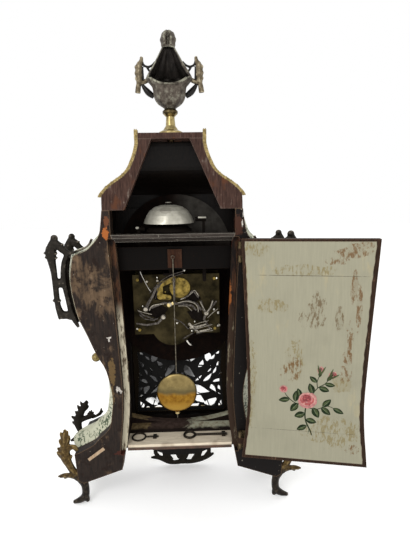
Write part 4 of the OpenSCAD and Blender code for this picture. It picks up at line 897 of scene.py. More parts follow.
def back_foot():
    """Rear foot: a leaf of pointed lobes that leans out from the corner of the case."""
    s = Shape()
    y = BACK_LEAF_Y
    leg(s, BACK_LEG_Y)
    strand(s, [(167, 50, 8.4), (175, 61, 7), (181.5, 74, 7), (186.5, 87, 8.6), (187, 101, 8.6),
               (185.5, 114, 7.4), (184.6, 128, 5), (184, 139, 2.2)], y, 0.5)
    fingers(s, ((187, 84, 200.5, 99, 5.4), (187, 96, 199.5, 106, 4.8), (187, 106, 195, 121, 4.8),
                (186, 114, 192, 134, 4.4), (185, 110, 177.5, 127, 4.8), (186, 118, 179.5, 136, 3.8),
                (186, 98, 175, 111, 5), (183, 84, 176, 92, 4)), y - 0.8)
    strand(s, [(186, 98, 4.5), (178, 106, 4.8), (171, 106, 4.6), (167, 99, 3.4)], y, 0.6)
    strand(s, [(169, 51, 5.6), (180, 54.5, 4.8), (191, 56, 4), (202, 53.5, 1.8)], y, 0.6)
    finger(s, (184, 54), (193, 49.5), 2.6, y)
    for rib in ([(170, 55), (180, 70), (187, 90), (186.6, 112), (185, 134)],
                [(186, 90), (192, 95), (198, 99)], [(187, 104), (191.5, 112), (194, 119)],
                [(185.5, 108), (181, 117), (178.5, 124)], [(174, 53), (186, 55), (198, 54)]):
        strand(s, [(x, z, 1.1) for x, z in rib], y + RIB_RISE, 1.0, 6)
    return s.mirrored()


def front_foot():
    """Front foot: its leaf curls inward at the top, with a small palmette beside it."""
    s = Shape()
    y = FRONT_LEAF_Y
    leg(s, FRONT_LEG_Y)
    strand(s, [(167, 50, 8.4), (178, 61, 6.4), (186, 72, 5), (190.5, 84, 6.4), (192, 96, 8),
               (187.5, 110, 7.6), (181, 122, 6.4), (175.5, 132, 4.4), (172.5, 139, 1.8)], y, 0.5)
    fingers(s, ((191, 88, 203, 97, 4.2), (191, 98, 203.5, 108, 4), (188, 108, 196, 118, 3.8),
                (184, 116, 191, 130, 3.8), (180, 124, 185, 137, 3.2), (180, 118, 169.5, 128, 3.8),
                (178, 126, 169.5, 136, 3)), y - 0.5)
    strand(s, [(188, 98, 4.8), (178, 103, 5), (170, 106, 5.4), (160, 108, 3.4)], y, 0.6)
    for tip in ((160.5, 117), (165, 121.5), (170, 119.5), (174, 115)):
        finger(s, (167, 107), tip, 2.6, y)
    strand(s, [(165, 104, 3), (157, 107, 3), (149, 113, 3.6), (147, 123, 1.4)], y, 0.6)
    finger(s, (149, 112), (142.5, 117), 2.2, y)
    strand(s, [(173, 56, 4.6), (185, 58.5, 4.8), (197, 61.5, 5.2), (208, 58, 2.4)], y, 0.6)
    finger(s, (192, 60), (202, 68), 3.2, y)
    return s.mirrored()


def side_mount(y, drop, back):
    """Open-work bracket on a front or rear corner, from the shoulder to below the belly."""
    s = Shape()
    strand(s, [(181, 433, 8), (182.6, 424, 8.4), (182, 412, 6.4), (180.2, 396, 5.1), (179.6, 378, 4.7),
               (179.2, 358, 4.6), (178, 342, 4.9), (174.5, 330, 6.4), (172.5, 324.5, 7)], y, 0.9)
    strand(s, [(159.5, 422, 3.6), (164.2, 410, 4), (166.4, 396, 4.3), (166.6, 382, 4.8), (165.2, 368, 3.9),
               (162.8, 352, 3.7), (160, 336, 4.2), (155.4, 322, 4.4), (149.5, 309, 2.4)], y, 0.8)
    strand(s, [(180, 379, 5.4), (172, 379, 7.4), (165, 379, 5.4)], y, 0.85)
    strand(s, [(175, 328, 6), (167, 329, 6.6), (159, 325, 5)], y, 0.8)
    strand(s, [(178, 441, 6), (170.5, 436, 6.2), (164.5, 429, 5.6), (157.5, 424.6, 4.4), (150, 425, 2.6),
               (142, 427.4, 2), (134, 430.6, 1.8), (126, 436, 1.9), (120.5, 445, 2.4)], y, 0.8)
    s.ball((175.6, y, 446.5), 5.6, 0.95)
    strand(s, [(176.5, 443, 5.4), (180, 437, 6), (182.5, 430, 7)], y, 0.85)
    for x, z, wide in ((182.6, 424.5, 9.6), (182.2, 418, 8.8), (179.4, 352, 5.8), (170.4, 438, 7.4)):
        s.tube([(x - wide, y, z - 0.6), (x + wide, y, z + 0.6)], 1.5, 8, 3.4, 1)
    inner = y - 5 * back
    strand(s, [(157.5, 418, 2.6), (160.6, 404, 3), (162, 388, 3), (161, 368, 3), (158.4, 350, 3),
               (154.6, 332, 3), (149.5, 316, 2)], inner, 1.0)
    return s.moved((0, 0, -drop)).mirrored()


def apron():
    """Scrolled mount under the middle of the front."""
    s = Shape()
    y = low("apron_mount").y + 3.2
    strand(s, [(-60, 22, 2.4), (-48, 16, 5), (-32, 9.6, 5.4), (-15, 6, 4.8), (0, 7, 5.6), (15, 5.2, 4.6),
               (27, 7.4, 5.2), (43, 16, 5.2), (60, 17, 2.4)], y, 0.6)
    finger(s, (0, 8), (0, 44), 8, y, 0.4)
    for side in (-1, 1):
        for scroll in (((20, 10, 4.6), (27, 21, 5), (22, 31, 4.6), (12, 30, 3)),
                       ((44, 17, 4), (51, 28, 4.4), (45, 38, 4), (35, 36, 3))):
            strand(s, [(side * x, z, r) for x, z, r in scroll], y, 0.55)
        finger(s, (side * 6, 14), (side * 16, 42), 4.4, y)
        finger(s, (side * 30, 14), (side * 38, 30), 3.8, y)
    return s


# Finial

HANDLE_Y = URN_Y - 6

# Height above the foot and radius, from foot to tip
URN_PROFILE = ((0, 7.5), (3, 11.5), (6, 16), (11, 19.8), (17, 22), (24, 22.8), (30, 24), (34, 28), (39, 31.5),
               (44, 30.4), (50, 26.4), (57, 21.8), (65, 17.6), (73, 13.6), (80, 9.6), (84, 9.4), (90, 10.3),
               (97, 9.6), (101.5, 7), (103.5, 4))


def finial_radius(height, angle):
    """Radius of the urn at a height above its foot, ribbed on the bowl, the lid and the bud."""
    last = len(URN_PROFILE) - 1
    for i in range(last):
        if height <= URN_PROFILE[i + 1][0]:
            t = (height - URN_PROFILE[i][0]) / (URN_PROFILE[i + 1][0] - URN_PROFILE[i][0])
            r = spline_point(*[URN_PROFILE[max(0, min(i + k, last))][1] for k in (-1, 0, 1, 2)], t)
            break
    else:
        r = URN_PROFILE[-1][1]
    if 5 < height < 31:
        r *= 1 + 0.13 * abs(math.cos(4 * angle)) ** 0.5 - 0.1
    elif 47 < height < 80:
        r *= 1 + 0.05 * math.cos(9 * angle)
    elif height > 83:
        cleft = math.exp(-((angle - math.pi / 2) / 0.24) ** 2)
        r *= 1 + 0.08 * math.cos(6 * angle + 0.6) + 0.05 * math.sin(height * 0.7) - 0.75 * cleft
    return r


def urn():
    """Hollow half urn whose open back shows its inside."""
    s = Shape()
    total = high("finial_urn").z - URN_FOOT
    wall = 2.4
    rows = 84
    columns = 72

    def kept(i, k):
        height = total * (i + 0.5) / rows
        angle = 2 * math.pi * (k + 0.5) / columns
        if math.sin(angle) < 0.06 or height > 81:
            return True
        return height < 28 + 10 * (finial_radius(height, angle) * math.cos(angle) / 26) ** 2

    def spot(i, k, inward):
        height = total * i / rows
        angle = 2 * math.pi * k / columns
        r = max(finial_radius(height, angle) - inward, 0.8)
        return Vector((r * math.cos(angle), URN_Y + r * math.sin(angle), URN_FOOT + height))

    for i in range(rows):
        for k in range(columns):
            if not kept(i, k):
                continue
            n = (k + 1) % columns
            around = ((i, k), (i, n), (i + 1, n), (i + 1, k))
            corners = [spot(*at, inward) for inward in (0, wall) for at in around]
            faces = [(0, 1, 2, 3), (7, 6, 5, 4)]
            if i == 0 or not kept(i - 1, k):
                faces.append((0, 4, 5, 1))
            if i == rows - 1 or not kept(i + 1, k):
                faces.append((3, 2, 6, 7))
            if not kept(i, (k - 1) % columns):
                faces.append((0, 3, 7, 4))
            if not kept(i, n):
                faces.append((1, 5, 6, 2))
            s.add(corners, faces)
    heights = (81, 76, 68, 60, 52, 46, 41, 38)
    for side in (-1, 1):
        rim = [(side * (finial_radius(h, 0) - 1), URN_Y + 0.4, URN_FOOT + h) for h in heights]
        s.tube(rim, [1.5, 1.3, 1.3, 1.5, 1.8, 2.4, 2.6, 2], 8, 1.0, 4)
    lip = []
    for x in range(-25, 26, 5):
        height = 28.5 + 10 * (x / 26) ** 2
        r = finial_radius(height, math.pi / 2)
        lip.append((x, URN_Y + math.sqrt(max(r * r - x * x, 1)) - 1.2, URN_FOOT + height))
    s.tube(lip, 1.8, 8, 1.0, 3, (0, 0, 1))
    s.lathe([(0.5, 0), (7.5, 0), (10.8, 2.6), (8, 4.5), (0.5, 5)], (0, URN_Y, URN_FOOT), "Z", 32)
    return s


def arm(shape, points, y=HANDLE_Y, depth=0.9):
    """A strand whose heights count from the foot of the urn."""
    strand(shape, [(x, URN_FOOT + z, r) for x, z, r in points], y, depth)


def handle_legs():
    """Rough brass legs of the urn's handles, with their horns."""
    s = Shape()
    arm(s, [(38.4, 72, 2.2), (39.4, 66, 3.2), (42, 61, 4.8), (43, 53, 5.6), (43, 45, 5.4), (43, 37, 4.6)])
    arm(s, [(43.6, 38, 3.6), (45, 31, 3.9), (46, 23.5, 4.1)])
    for x, z in ((46, 58), (46.4, 50), (46, 43), (40.2, 56), (40, 47)):
        s.ball((x, HANDLE_Y + 0.8, URN_FOOT + z), 3.2, 0.9)
    arm(s, [(44, 37, 3), (38, 37.5, 3), (33, 40, 3.4), (28, 42, 3)])
    return s.mirrored()


def handle_struts():
    """Dark arms that tie the handles to the urn."""
    s = Shape()
    arm(s, [(38.5, 67, 2), (36, 61, 1.8), (30, 58.6, 1.7), (24, 60.5, 1.8), (19, 65, 2)])
    arm(s, [(31, 57, 1.6), (28, 53, 1.7), (26, 50, 2)])
    arm(s, [(39.5, 35.5, 2), (35, 29, 3.8), (30, 23.5, 4.6), (23, 18.5, 3.6)])
    arm(s, [(38, 58, 1.7), (37.4, 40, 1.7)], HANDLE_Y + 1, 1.4)
    return s.mirrored()


def make_castings():
    """Casts each bronze piece, which stands for its CAD node, and the arms of the urn's handles."""
    brackets = side_mount(BACK_MOUNT_Y, 0, 1)
    brackets.join(side_mount(FRONT_MOUNT_Y, FRONT_MOUNT_DROP, -1))
    for name, shape, slot, look, voxel, passes, node in (
            ("rear_feet", back_foot(), "bronze", "bronze", 1.15, 3, "feet_back"),
            ("fore_feet", front_foot(), "bronze", "dark_bronze", 1.15, 3, "feet_front"),
            ("side_brackets", brackets, "bronze", "bracket_steel", 1.2, 3, "corner_mounts"),
            ("front_apron", apron(), "bronze", "dark_bronze", 1.2, 3, "apron_mount"),
            ("half_urn", urn(), "urn_metal", "urn_metal", 0.75, 2, "finial_urn"),
            ("handle_legs", handle_legs(), "gilt_brass", "rough_brass", 0.8, 2, "finial_handles")):
        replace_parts(cast(name, shape, look, voxel, passes), node)
    cast("handle_arms", handle_struts(), "black_steel", 0.8, 2)


make_castings()


# Pierced grille behind the front door's glass

GRILLE_FOOT = 119.8

# Leaf-shaped openings of one half: x and z of the root, x and z of the tip, and half width
GRILLE_LEAVES = ((24, 163, 54, 148, 8), (25, 150, 46, 126, 8), (43, 125, 68, 137, 8), (12, 118, 34, 126, 8),
                 (33, 119, 50, 120, 4), (27, 170, 40, 182, 2.4), (42, 169, 58, 185, 3.8),
                 (60, 168, 75, 175, 4.4), (57, 163, 66, 146, 5.4), (66, 222, 74, 229, 2.4),
                 (50, 208, 47, 230, 6.6), (67, 199, 73, 211, 3.4), (51, 187, 56, 200, 2.6),
                 (60, 184, 66, 197, 2.4), (71, 181, 76, 190, 2.4), (70, 161, 76, 150, 3),
                 (70, 119, 76, 133, 4), (57, 120, 66, 119, 2.4), (9, 202, 27, 178, 8), (10, 212, 32, 222, 6),
                 (34, 197, 42, 211, 4.6), (3, 188, 10, 172, 3.6), (55, 212, 64, 221, 3),
                 (69, 146, 76, 139, 2.2))


def void(shape, root, tip, width, y0, y1):
    """One leaf-shaped opening that bends a little and stops at the foot of the plate."""
    a, b, side = flat_pair(root, tip)
    ahead = b - a
    left, right = [], []
    for t, h in ((0.0, 0.1), (0.14, 0.62), (0.34, 1.0), (0.58, 0.88), (0.82, 0.42), (1.0, 0.05)):
        q = a + ahead * t + side * width * 0.35 * math.sin(math.pi * t)
        left.append(q + side * width * h)
        right.append(q - side * width * h * 0.8)
    shape.prism([(q.x, max(q.y, GRILLE_FOOT)) for q in left + right[::-1]], y0, y1)


def make_grille():
    """A plate painted near black as shade, cut through in leaf shapes, with raised veins on the side that the
    dial faces.
    """
    lo, hi = low("front_door_grille"), high("front_door_grille")
    plate = Shape()
    plate.block((lo.x, lo.y, lo.z), (hi.x - lo.x, hi.y - lo.y, hi.z - lo.z))
    cutter = Shape()
    for x0, z0, x1, z1, width in GRILLE_LEAVES:
        for side in (-1, 1):
            void(cutter, (side * x0, z0), (side * x1, z1), width, lo.y - 2, hi.y + 2)
    obj = place("leaf_grille", plate, "front_door", "grille_dark")
    knife = place("grille_knife", cutter, "front_door", "grille_dark")
    cut = obj.modifiers.new("cut", "BOOLEAN")
    cut.operation = "DIFFERENCE"
    cut.object = knife
    cut.solver = "EXACT"
    cut.use_self = True
    settle(obj)
    bpy.data.objects.remove(knife)
    shade_smooth(obj.data, 30)
    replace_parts(obj, "front_door_grille")
    veins = Shape()
    for points in ([(78, 114), (62, 142), (38, 168), (20, 204), (12, 229)], [(40, 165), (60, 165), (77, 168)],
                   [(52, 155), (69, 143), (78, 138)], [(30, 186), (46, 186), (62, 204), (70, 218)],
                   [(3, 114), (22, 130), (28, 142), (44, 141)], [(20, 204), (36, 200), (48, 200)],
                   [(48, 134), (54, 116)], [(4, 160), (16, 158), (26, 166)]):
        for side in (-1, 1):
            radii = [0.9] + [1.5] * (len(points) - 2) + [0.9]
            strand(veins, [(side * x, z, r) for (x, z), r in zip(points, radii)], lo.y, 0.5, 8, 4)
    place("grille_veins", veins, "front_door", "grille_dark")


make_grille()


# Small work on the movement

def post(shape, x, z, radius, tall):
    """A pin that stands on the back plate and ends in a domed head."""
    stem = radius * 0.5
    shape.lathe([(0.05, 0), (stem, 0), (stem, tall - radius * 1.1), (radius, tall - radius),
                 (radius * 0.92, tall - radius * 0.4), (stem, tall - 0.1), (0.05, tall)],
                (x, PLATE_Y, z), "Y", 14)


def wire(shape, points, radius, y):
    """A bent wire that runs at depth y and turns in to the back plate at its last place."""
    path = [(x, y, z) for x, z in points]
    x, z = points[-1]
    path += [(x, (y + PLATE_Y) / 2, z - 0.6), (x, PLATE_Y, z - 0.8)]
    shape.tube(path, radius, 8, 1.0, 4, (0.3, 0.2, 0.9))


# Wires as their radius and their (x, z) places, in groups that lie at one height over the levers
PALE_WIRES = ((0.55, (56, 388), (52, 378), (45, 363), (40.5, 355.5)),
              (1.5, (-15, 272), (-19, 266), (-22, 264)))
DARK_WIRES = ((0.75, (-14, 388), (9, 381), (25, 371), (41.5, 353.5)),
              (0.6, (-12, 384), (8, 377.5), (24, 367), (33, 345.5)))
UPPER_DARK_WIRES = ((1.5, (-13, 343), (-21, 350), (-27, 355), (-35, 345)),
                    (0.9, (-49, 297), (-40, 294), (-29, 290)),
                    (0.9, (-52, 288), (-42, 286), (-32, 283)),
                    (1.4, (61, 324), (54, 317), (48, 315), (38, 310), (31, 310.5)),
                    (1.1, (60, 318), (52, 311), (44, 309), (36, 307.5)),
                    (1.1, (6, 310), (-8, 303), (-18, 292)),
                    (1.3, (-9, 275), (-17, 280), (-26, 285)))
LIT_WIRES = ((1.1, (20, 335), (29, 334.5), (39, 332), (44, 325)),
             (0.6, (-3, 331), (-16, 330), (-24.5, 322.5)),
             (0.8, (-2, 336), (-14, 338.5), (-27, 336), (-34, 329), (-35, 320.5)),
             (0.9, (-7, 342), (-17, 346), (-25, 352), (-30, 356), (-36, 347)),
             (0.8, (-38, 338), (-43, 328), (-48, 318)),
             (1.3, (-48, 318), (-55, 328), (-58.5, 338)),
             (0.7, (-50, 310), (-57, 317), (-67, 325)),
             (0.6, (-24, 297), (-38, 302), (-51, 305)),
             (0.6, (-27, 291), (-55.5, 298)),
             (0.5, (-31, 286), (-57, 288)),
             (0.7, (40, 318), (52, 321), (62, 325)))


def make_plate_work():
    """Springs, wires and pins on the back plate, and flat black shapes laid on it as painted shade between
    the parts.
    """
    over = high("rack_lever").y + 1.8
    dark, pale, lit, black = Shape(), Shape(), Shape(), Shape()
    for shape, out, wires in ((pale, 0, PALE_WIRES), (dark, 0, DARK_WIRES), (dark, 1, UPPER_DARK_WIRES),
                              (lit, 1.4, LIT_WIRES)):
        for radius, *points in wires:
            wire(shape, points, radius, over + out)
    # painted shade: flat black shapes on the back plate where the movement lies in shade
    for thick, outline in ((1.4, [(-17, 318), (-30, 322), (-40, 322), (-43, 312), (-41, 301), (-32, 304),
                                  (-24, 306), (-21, 312)]),
                           (1.2, [(14, 324), (22, 312), (34, 308), (46, 314), (48, 326), (38, 332),
                                  (26, 330)]),
                           (1.2, [(-4, 352), (-16, 356), (-30, 352), (-40, 340), (-30, 334), (-16, 338)]),
                           (1.2, [(20, 352), (28, 360), (38, 352), (36, 340), (26, 338)])):
        black.prism(outline, PLATE_Y, PLATE_Y + thick)
    for x, z, radius in ((30, 377, 1.5), (-66, 374, 1.8), (23, 312, 2.8), (0, 300, 1.5), (-29, 302, 1.3),
                         (-68, 316, 2.4), (-67, 294, 1.4), (-24, 286, 1.6), (66, 292, 1.3), (-61, 322, 1.9),
                         (-56, 289, 1.5), (55, 330, 1.3)):
        post(pale, x, z, radius, 5.2)
    pale.ball((-14, over, 389), 2.5)
    place("movement_lit_springs", lit, "case", "screw_steel")
    place("movement_painted_shade", black, "case", "black_void", 0.3)
    place("movement_springs", dark, "case", "lever_steel")
    place("movement_pins", pale, "case", "bright_steel")


def make_striking_work():
    """Heads of the two hammers, nuts of the warning lever and the knob on the bell."""
    foot, head = low("hammer_high"), high("hammer_high")
    cap = Shape()
    cap.block((foot.x - 0.3, head.y - 7.4, head.z - 2.6), (head.x - foot.x - 4, 7.6, 2.9))
    place("hammer_cap", cap, "hammer_high", "bell", 0.9)
    head = high("hammer_low")
    cap = Shape()
    cap.block((head.x - 5, head.y - 6.2, head.z - 3.4), (5.3, 6.4, 3.7))
    place("low_hammer_cap", cap, "hammer_low", "bell", 0.9)
    nuts = Shape()
    for x, z, radius in ((12.5, 331, 3.2), (6, 333.6, 2.6)):
        nuts.lathe([(0.05, 0), (radius, 0), (radius, 1.4), (radius * 0.6, 2), (radius * 0.6, 2.8), (0.05, 3)],
                   (x, high("warning_lever").y, z), "Y", 16)
    place("warning_nuts", nuts, "warning_lever", "movement_gold")
    knob = Shape()
    bell = middle("upper_bell")
    knob.lathe([(0.05, -1), (3.4, -1), (3.4, 0.6), (5, 1.2), (5.3, 2.4), (4.6, 3.6), (2, 4.4), (0.05, 4.6)],
               (bell.x, bell.y, high("upper_bell").z), "Z", 28)
    place("bell_knob", knob, "case", "bell")


make_plate_work()
make_striking_work()


# Trims and marks on the case

LEAF_PACE = 3.4


def trim_line():
    """Outer edge of the gilt strip beside the hat, from its foot to its top."""
    edge = {}
    for v in nodes["hat_trims"].data.vertices:
        q = v.co / MM
        if q.x > 0 and q.y > BACK_Y - 0.3:
            z = round(q.z, 1)
            edge[z] = max(edge.get(z, 0), q.x)
    return [(x, z) for z, x in sorted(edge.items())]


def make_trim_carving():
    """Leaves in pairs along the gilt strips, with a bead at every third pair."""
    s = Shape()
    line = smooth([(x - 2.4, 0, z) for x, z in trim_line()], 4)
    length = 0
    mark = 0
    for a, b in zip(line, line[1:]):
        length += (b - a).length
        if length < mark:
            continue
        mark += LEAF_PACE
        step = round(mark / LEAF_PACE)
        ahead = (b - a).normalized()
        side = Vector((ahead.z, 0, -ahead.x))
        big = 1.5 + 0.5 * (step % 3 == 0)
        for lean in (-0.7, 0.7):
            root = a + side * lean
            tip = a + ahead * 3.6 + side * lean * 1.9
            arch = ((root, -0.4), ((root + tip) / 2, 0), (tip, -0.5))
            path = [q + Vector((0, BACK_Y + out, 0)) for q, out in arch]
            s.tube(path, [big * 0.6, big * 0.75, 0.4], 7, 0.45, 2)
        if step % 3 == 0:
            s.ball(a + Vector((0, BACK_Y - 0.3, 0)), 1.7, 0.6, 6, 10)
    place("trim_carving", s.mirrored(), "case", "carved")


def torn(points, bite):
    """An outline whose edges are nibbled by up to bite."""
    ragged = []
    for i, a in enumerate(points):
        b = points[(i + 1) % len(points)]
        for k in range(4):
            wave = bite * math.sin(4.7 * i + 2.9 * k + a[1]) * (0.4 + 0.6 * (k % 2))
            ragged.append((mix(a[0], b[0], k / 4) + wave, mix(a[1], b[1], k / 4) + 0.8 * wave * (-1) ** k))
    return ragged


def make_case_marks():
    """A pale strip tacked on the left block, and scraps of white left on the stile."""
    strip = Shape()
    strip.prism([(149.5, 88.5), (147, 84), (120.5, 103.6), (123.5, 108)], BACK_Y, BACK_Y + 1.1)
    place("left_strip", strip, "case", "pale_wood", 0.3)
    scraps = Shape()
    for outline in ([(107.5, 293.6), (99.6, 294.8), (99.8, 292.2), (102.4, 291.6), (101.8, 286.5),
                     (104.6, 286), (105, 291.4)],
                    [(96, 213.4), (92, 211), (90.6, 207), (87.6, 203.4), (89.4, 200), (93, 204.6),
                     (95.6, 201.6), (97.4, 207)],
                    [(-102.4, 470), (-103.4, 462), (-101.6, 458), (-100.6, 466)],
                    [(-103.6, 482), (-104.2, 476), (-102.9, 473), (-102.3, 479)]):
        scraps.prism(torn(outline, 0.7 if outline[0][0] > 0 else 0.15), BACK_Y - 0.02, BACK_Y + 0.16)
    place("white_scraps", scraps, "case", "torn_white")


make_trim_carving()
make_case_marks()


# Dial

NUMBER_FOOT = 66
NUMBER_TOP = 82

# Each letter's strokes: place at the top, place at the foot, and width
STROKES = {"I": ((0, 0, 1.7),),
           "V": ((-2.6, 0, 1.9), (2.6, 0, 0.8)),
           "X": ((-2.6, 2.6, 1.9), (2.6, -2.6, 0.8))}


def bar(shape, a, b, width, y):
    """A straight flat stroke of ink between two (x, z) places."""
    a, b = Vector(a), Vector(b)
    ahead = (b - a).normalized() * width
    side = Vector((-ahead.y, ahead.x)) / 2
    shape.prism([(a - side)[:], (b - side)[:], (b + side)[:], (a + side)[:]], y, y + 0.16)


def numeral(shape, word, hour, y):
    """Bars of one hour's number, its foot towards the centre of the dial."""
    wide = {"I": 3.4, "V": 7.4, "X": 7.4}
    total = sum(wide[c] for c in word)
    turn = math.radians(30 * hour)
    across = -total / 2
    flip = Matrix(((math.cos(turn), math.sin(turn)), (-math.sin(turn), math.cos(turn))))

    def spot(u, v):
        p = flip @ Vector((u, v))
        return (-p.x, DIAL_Z + p.y)

    for c in word:
        mid = across + wide[c] / 2
        for at_top, at_foot, thick in STROKES[c]:
            bar(shape, spot(mid + at_top, NUMBER_TOP), spot(mid + at_foot, NUMBER_FOOT), thick, y)
        across += wide[c]
    for end in (NUMBER_FOOT, NUMBER_TOP):
        bar(shape, spot(-total / 2 + 0.4, end), spot(total / 2 - 0.4, end), 0.6, y - 0.02)


def make_dial_marks():
    """Hour numbers and a minute ring, printed on the front of the enamel."""
    s = Shape()
    y = low("enamel_dial").y - 0.12
    words = ("XII", "I", "II", "III", "IIII", "V", "VI", "VII", "VIII", "IX", "X", "XI")
    for hour, word in enumerate(words):
        numeral(s, word, hour, y)
    for r in (86.5, 90.5):
        s.lathe([(r, 0), (r + 0.45, 0), (r + 0.45, 0.16), (r, 0.16), (r, 0)], (0, y, DIAL_Z), "Y", 120)
    for minute in range(60):
        a = math.radians(6 * minute)
        inner, outer = ((r * math.sin(a), DIAL_Z + r * math.cos(a)) for r in (86.8, 90.6))
        bar(s, inner, outer, 1.1 if minute % 5 == 0 else 0.45, y)
    place("dial_marks", s, "case", "dial_ink")


make_dial_marks()


# Rear door: paint and a spray of flowers

def hinge_place():
    for joint in frame["record"]["behaviour"]["joints"]:
        if joint["name"] == "rear_door_swing":
            return Vector(joint["pos_m"]) / MM
    raise ValueError("no rear door hinge")


DOOR_HINGE = hinge_place()
DOOR_OPEN = 169


def door_outline():
    """The inside face of the closed door: its depth and its right edge from foot to top."""
    back = Matrix.Rotation(math.radians(-DOOR_OPEN), 3, "Z")
    spots = [back @ (v.co / MM - DOOR_HINGE) + DOOR_HINGE for v in nodes["rear_door"].data.vertices]
    face_y = min(q.y for q in spots)
    edge = {}
    for q in spots:
        if abs(q.y - face_y) < 0.3 and q.x > 0:
            edge[round(q.z)] = max(q.x, edge.get(round(q.z), 0))
    return face_y, sorted((z, x) for z, x in edge.items() if x > 60)


DOOR_FACE, DOOR_EDGE = door_outline()


def between(table, z):
    """Linear reading of a table of (z, value) pairs."""
    if z <= table[0][0]:
        return table[0][1]
    for (z0, v0), (z1, v1) in zip(table, table[1:]):
        if z <= z1:
            return mix(v0, v1, (z - z0) / (z1 - z0))
    return table[-1][1]


def door_panel():
    """Thin coat of paint that leaves a brown margin round the door's inside."""
    s = Shape()
    foot, top = DOOR_EDGE[0][0] + 5, DOOR_EDGE[-1][0] - 3.5
    rows = 48
    right, left = [], []
    for i in range(rows + 1):
        z = mix(foot, top, i / rows)
        wave = 0.5 * math.sin(z * 0.31) + 0.35 * math.sin(z * 0.83 + 1)
        right.append((between(DOOR_EDGE, z) - 6.2 + wave, z))
        left.append((-between(DOOR_EDGE, z) + 4.6 - wave * 0.7, z))
    s.prism(right + left[::-1], DOOR_FACE - 0.2, DOOR_FACE + 0.05)
    return s


def blade(shape, root, tip, width, y, tint, point=1.0):
    """One brush stroke: an oval with a pointed tip, lying on the paint."""
    a, b, side = flat_pair(root, tip)
    half = [(t, math.sin(math.pi * t ** point) ** 0.8) for t in (0.0, 0.12, 0.28, 0.45, 0.62, 0.78, 0.9, 1.0)]
    outline = [mix(a, b, t) + side * width * h for t, h in half]
    outline += [mix(a, b, t) - side * width * h for t, h in half[-2:0:-1]]
    shape.tint = tint
    shape.prism([(q.x, q.y) for q in outline], y, y + 0.12)


def leaf(shape, root, tip, width, y):
    """A dark green leaf with a lighter half and a pale rib."""
    a, b, side = flat_pair(root, tip)
    ahead = b - a
    blade(shape, root, tip, width, y, 1, 0.9)
    start = a + side * width * 0.42 + ahead * 0.1
    blade(shape, start[:2], (b - ahead * 0.12)[:2], width * 0.4, y - 0.08, 2, 0.9)
    blade(shape, root, (b - ahead * 0.1)[:2], 0.28, y - 0.14, 3, 0.6)


def rose(shape, x, z, r, y, turn=0.4):
    """An open bloom: wide outer petals, then curled ones that close round a dark heart above its middle."""
    layers = ((6, 1.0, 0.56, 4, 0.0), (5, 0.86, 0.48, 6, 0.02), (5, 0.72, 0.4, 5, 0.08),
              (4, 0.6, 0.35, 4, 0.13), (4, 0.5, 0.31, 5, 0.17), (4, 0.42, 0.3, 7, 0.2),
              (3, 0.3, 0.13, 5, 0.22), (3, 0.2, 0.13, 7, 0.22))
    for ring, (count, reach, wide, tint, lift) in enumerate(layers):
        cx, cz = x - 0.5 * lift * r, z + lift * r
        for k in range(count):
            a = turn + ring * 0.83 + 2 * math.pi * (k + 0.13 * math.sin(3 * k + ring)) / count
            span = reach * r * (1 + 0.1 * math.sin(5 * k + 2 * ring))
            tip = (cx + span * math.cos(a + 0.2), cz + span * math.sin(a + 0.2) * 0.88)
            depth = y - 0.09 * ring - 0.008 * k
            blade(shape, (cx, cz), tip, wide * r, depth, tint, 1.9)
            if ring in (2, 4) and k % 2 == 0:
                fold = (cx + span * 0.9 * math.cos(a + 0.45), cz + span * 0.9 * math.sin(a + 0.45) * 0.88)
                blade(shape, tip, fold, 0.07 * r, depth - 0.05, 7, 1.0)


def bud(shape, x, z, angle, size, y):
    """A closed bud in its calyx, pointing along angle degrees."""
    a = math.radians(angle)
    ahead = Vector((math.cos(a), math.sin(a)))
    side = Vector((-ahead.y, ahead.x))
    at = Vector((x, z))
    for shift, length, wide, tint in ((-0.22, 1.0, 0.3, 5), (0.24, 0.95, 0.3, 4), (0.0, 1.1, 0.28, 6)):
        tip = at + ahead * length * size + side * shift * size * 0.4
        blade(shape, (at + side * shift * size)[:], tip[:], wide * size, y, tint, 1.2)
    for shift, reach in ((-0.55, 1.15), (0.5, 1.2), (0.05, 0.7)):
        tip = at + ahead * reach * size + side * shift * size
        blade(shape, (at - ahead * 0.35 * size)[:], tip[:], 0.11 * size, y - 0.16, 2, 1.0)
    blade(shape, (at - ahead * 0.5 * size)[:], (at + ahead * 0.35 * size)[:], 0.24 * size, y - 0.1, 1, 1.1)


def stalk(shape, points, y, r, tint):
    shape.tint = tint
    shape.tube([(x, y, z) for x, z in points], [r] * (len(points) - 1) + [r * 0.5], 6, 0.16, 5)


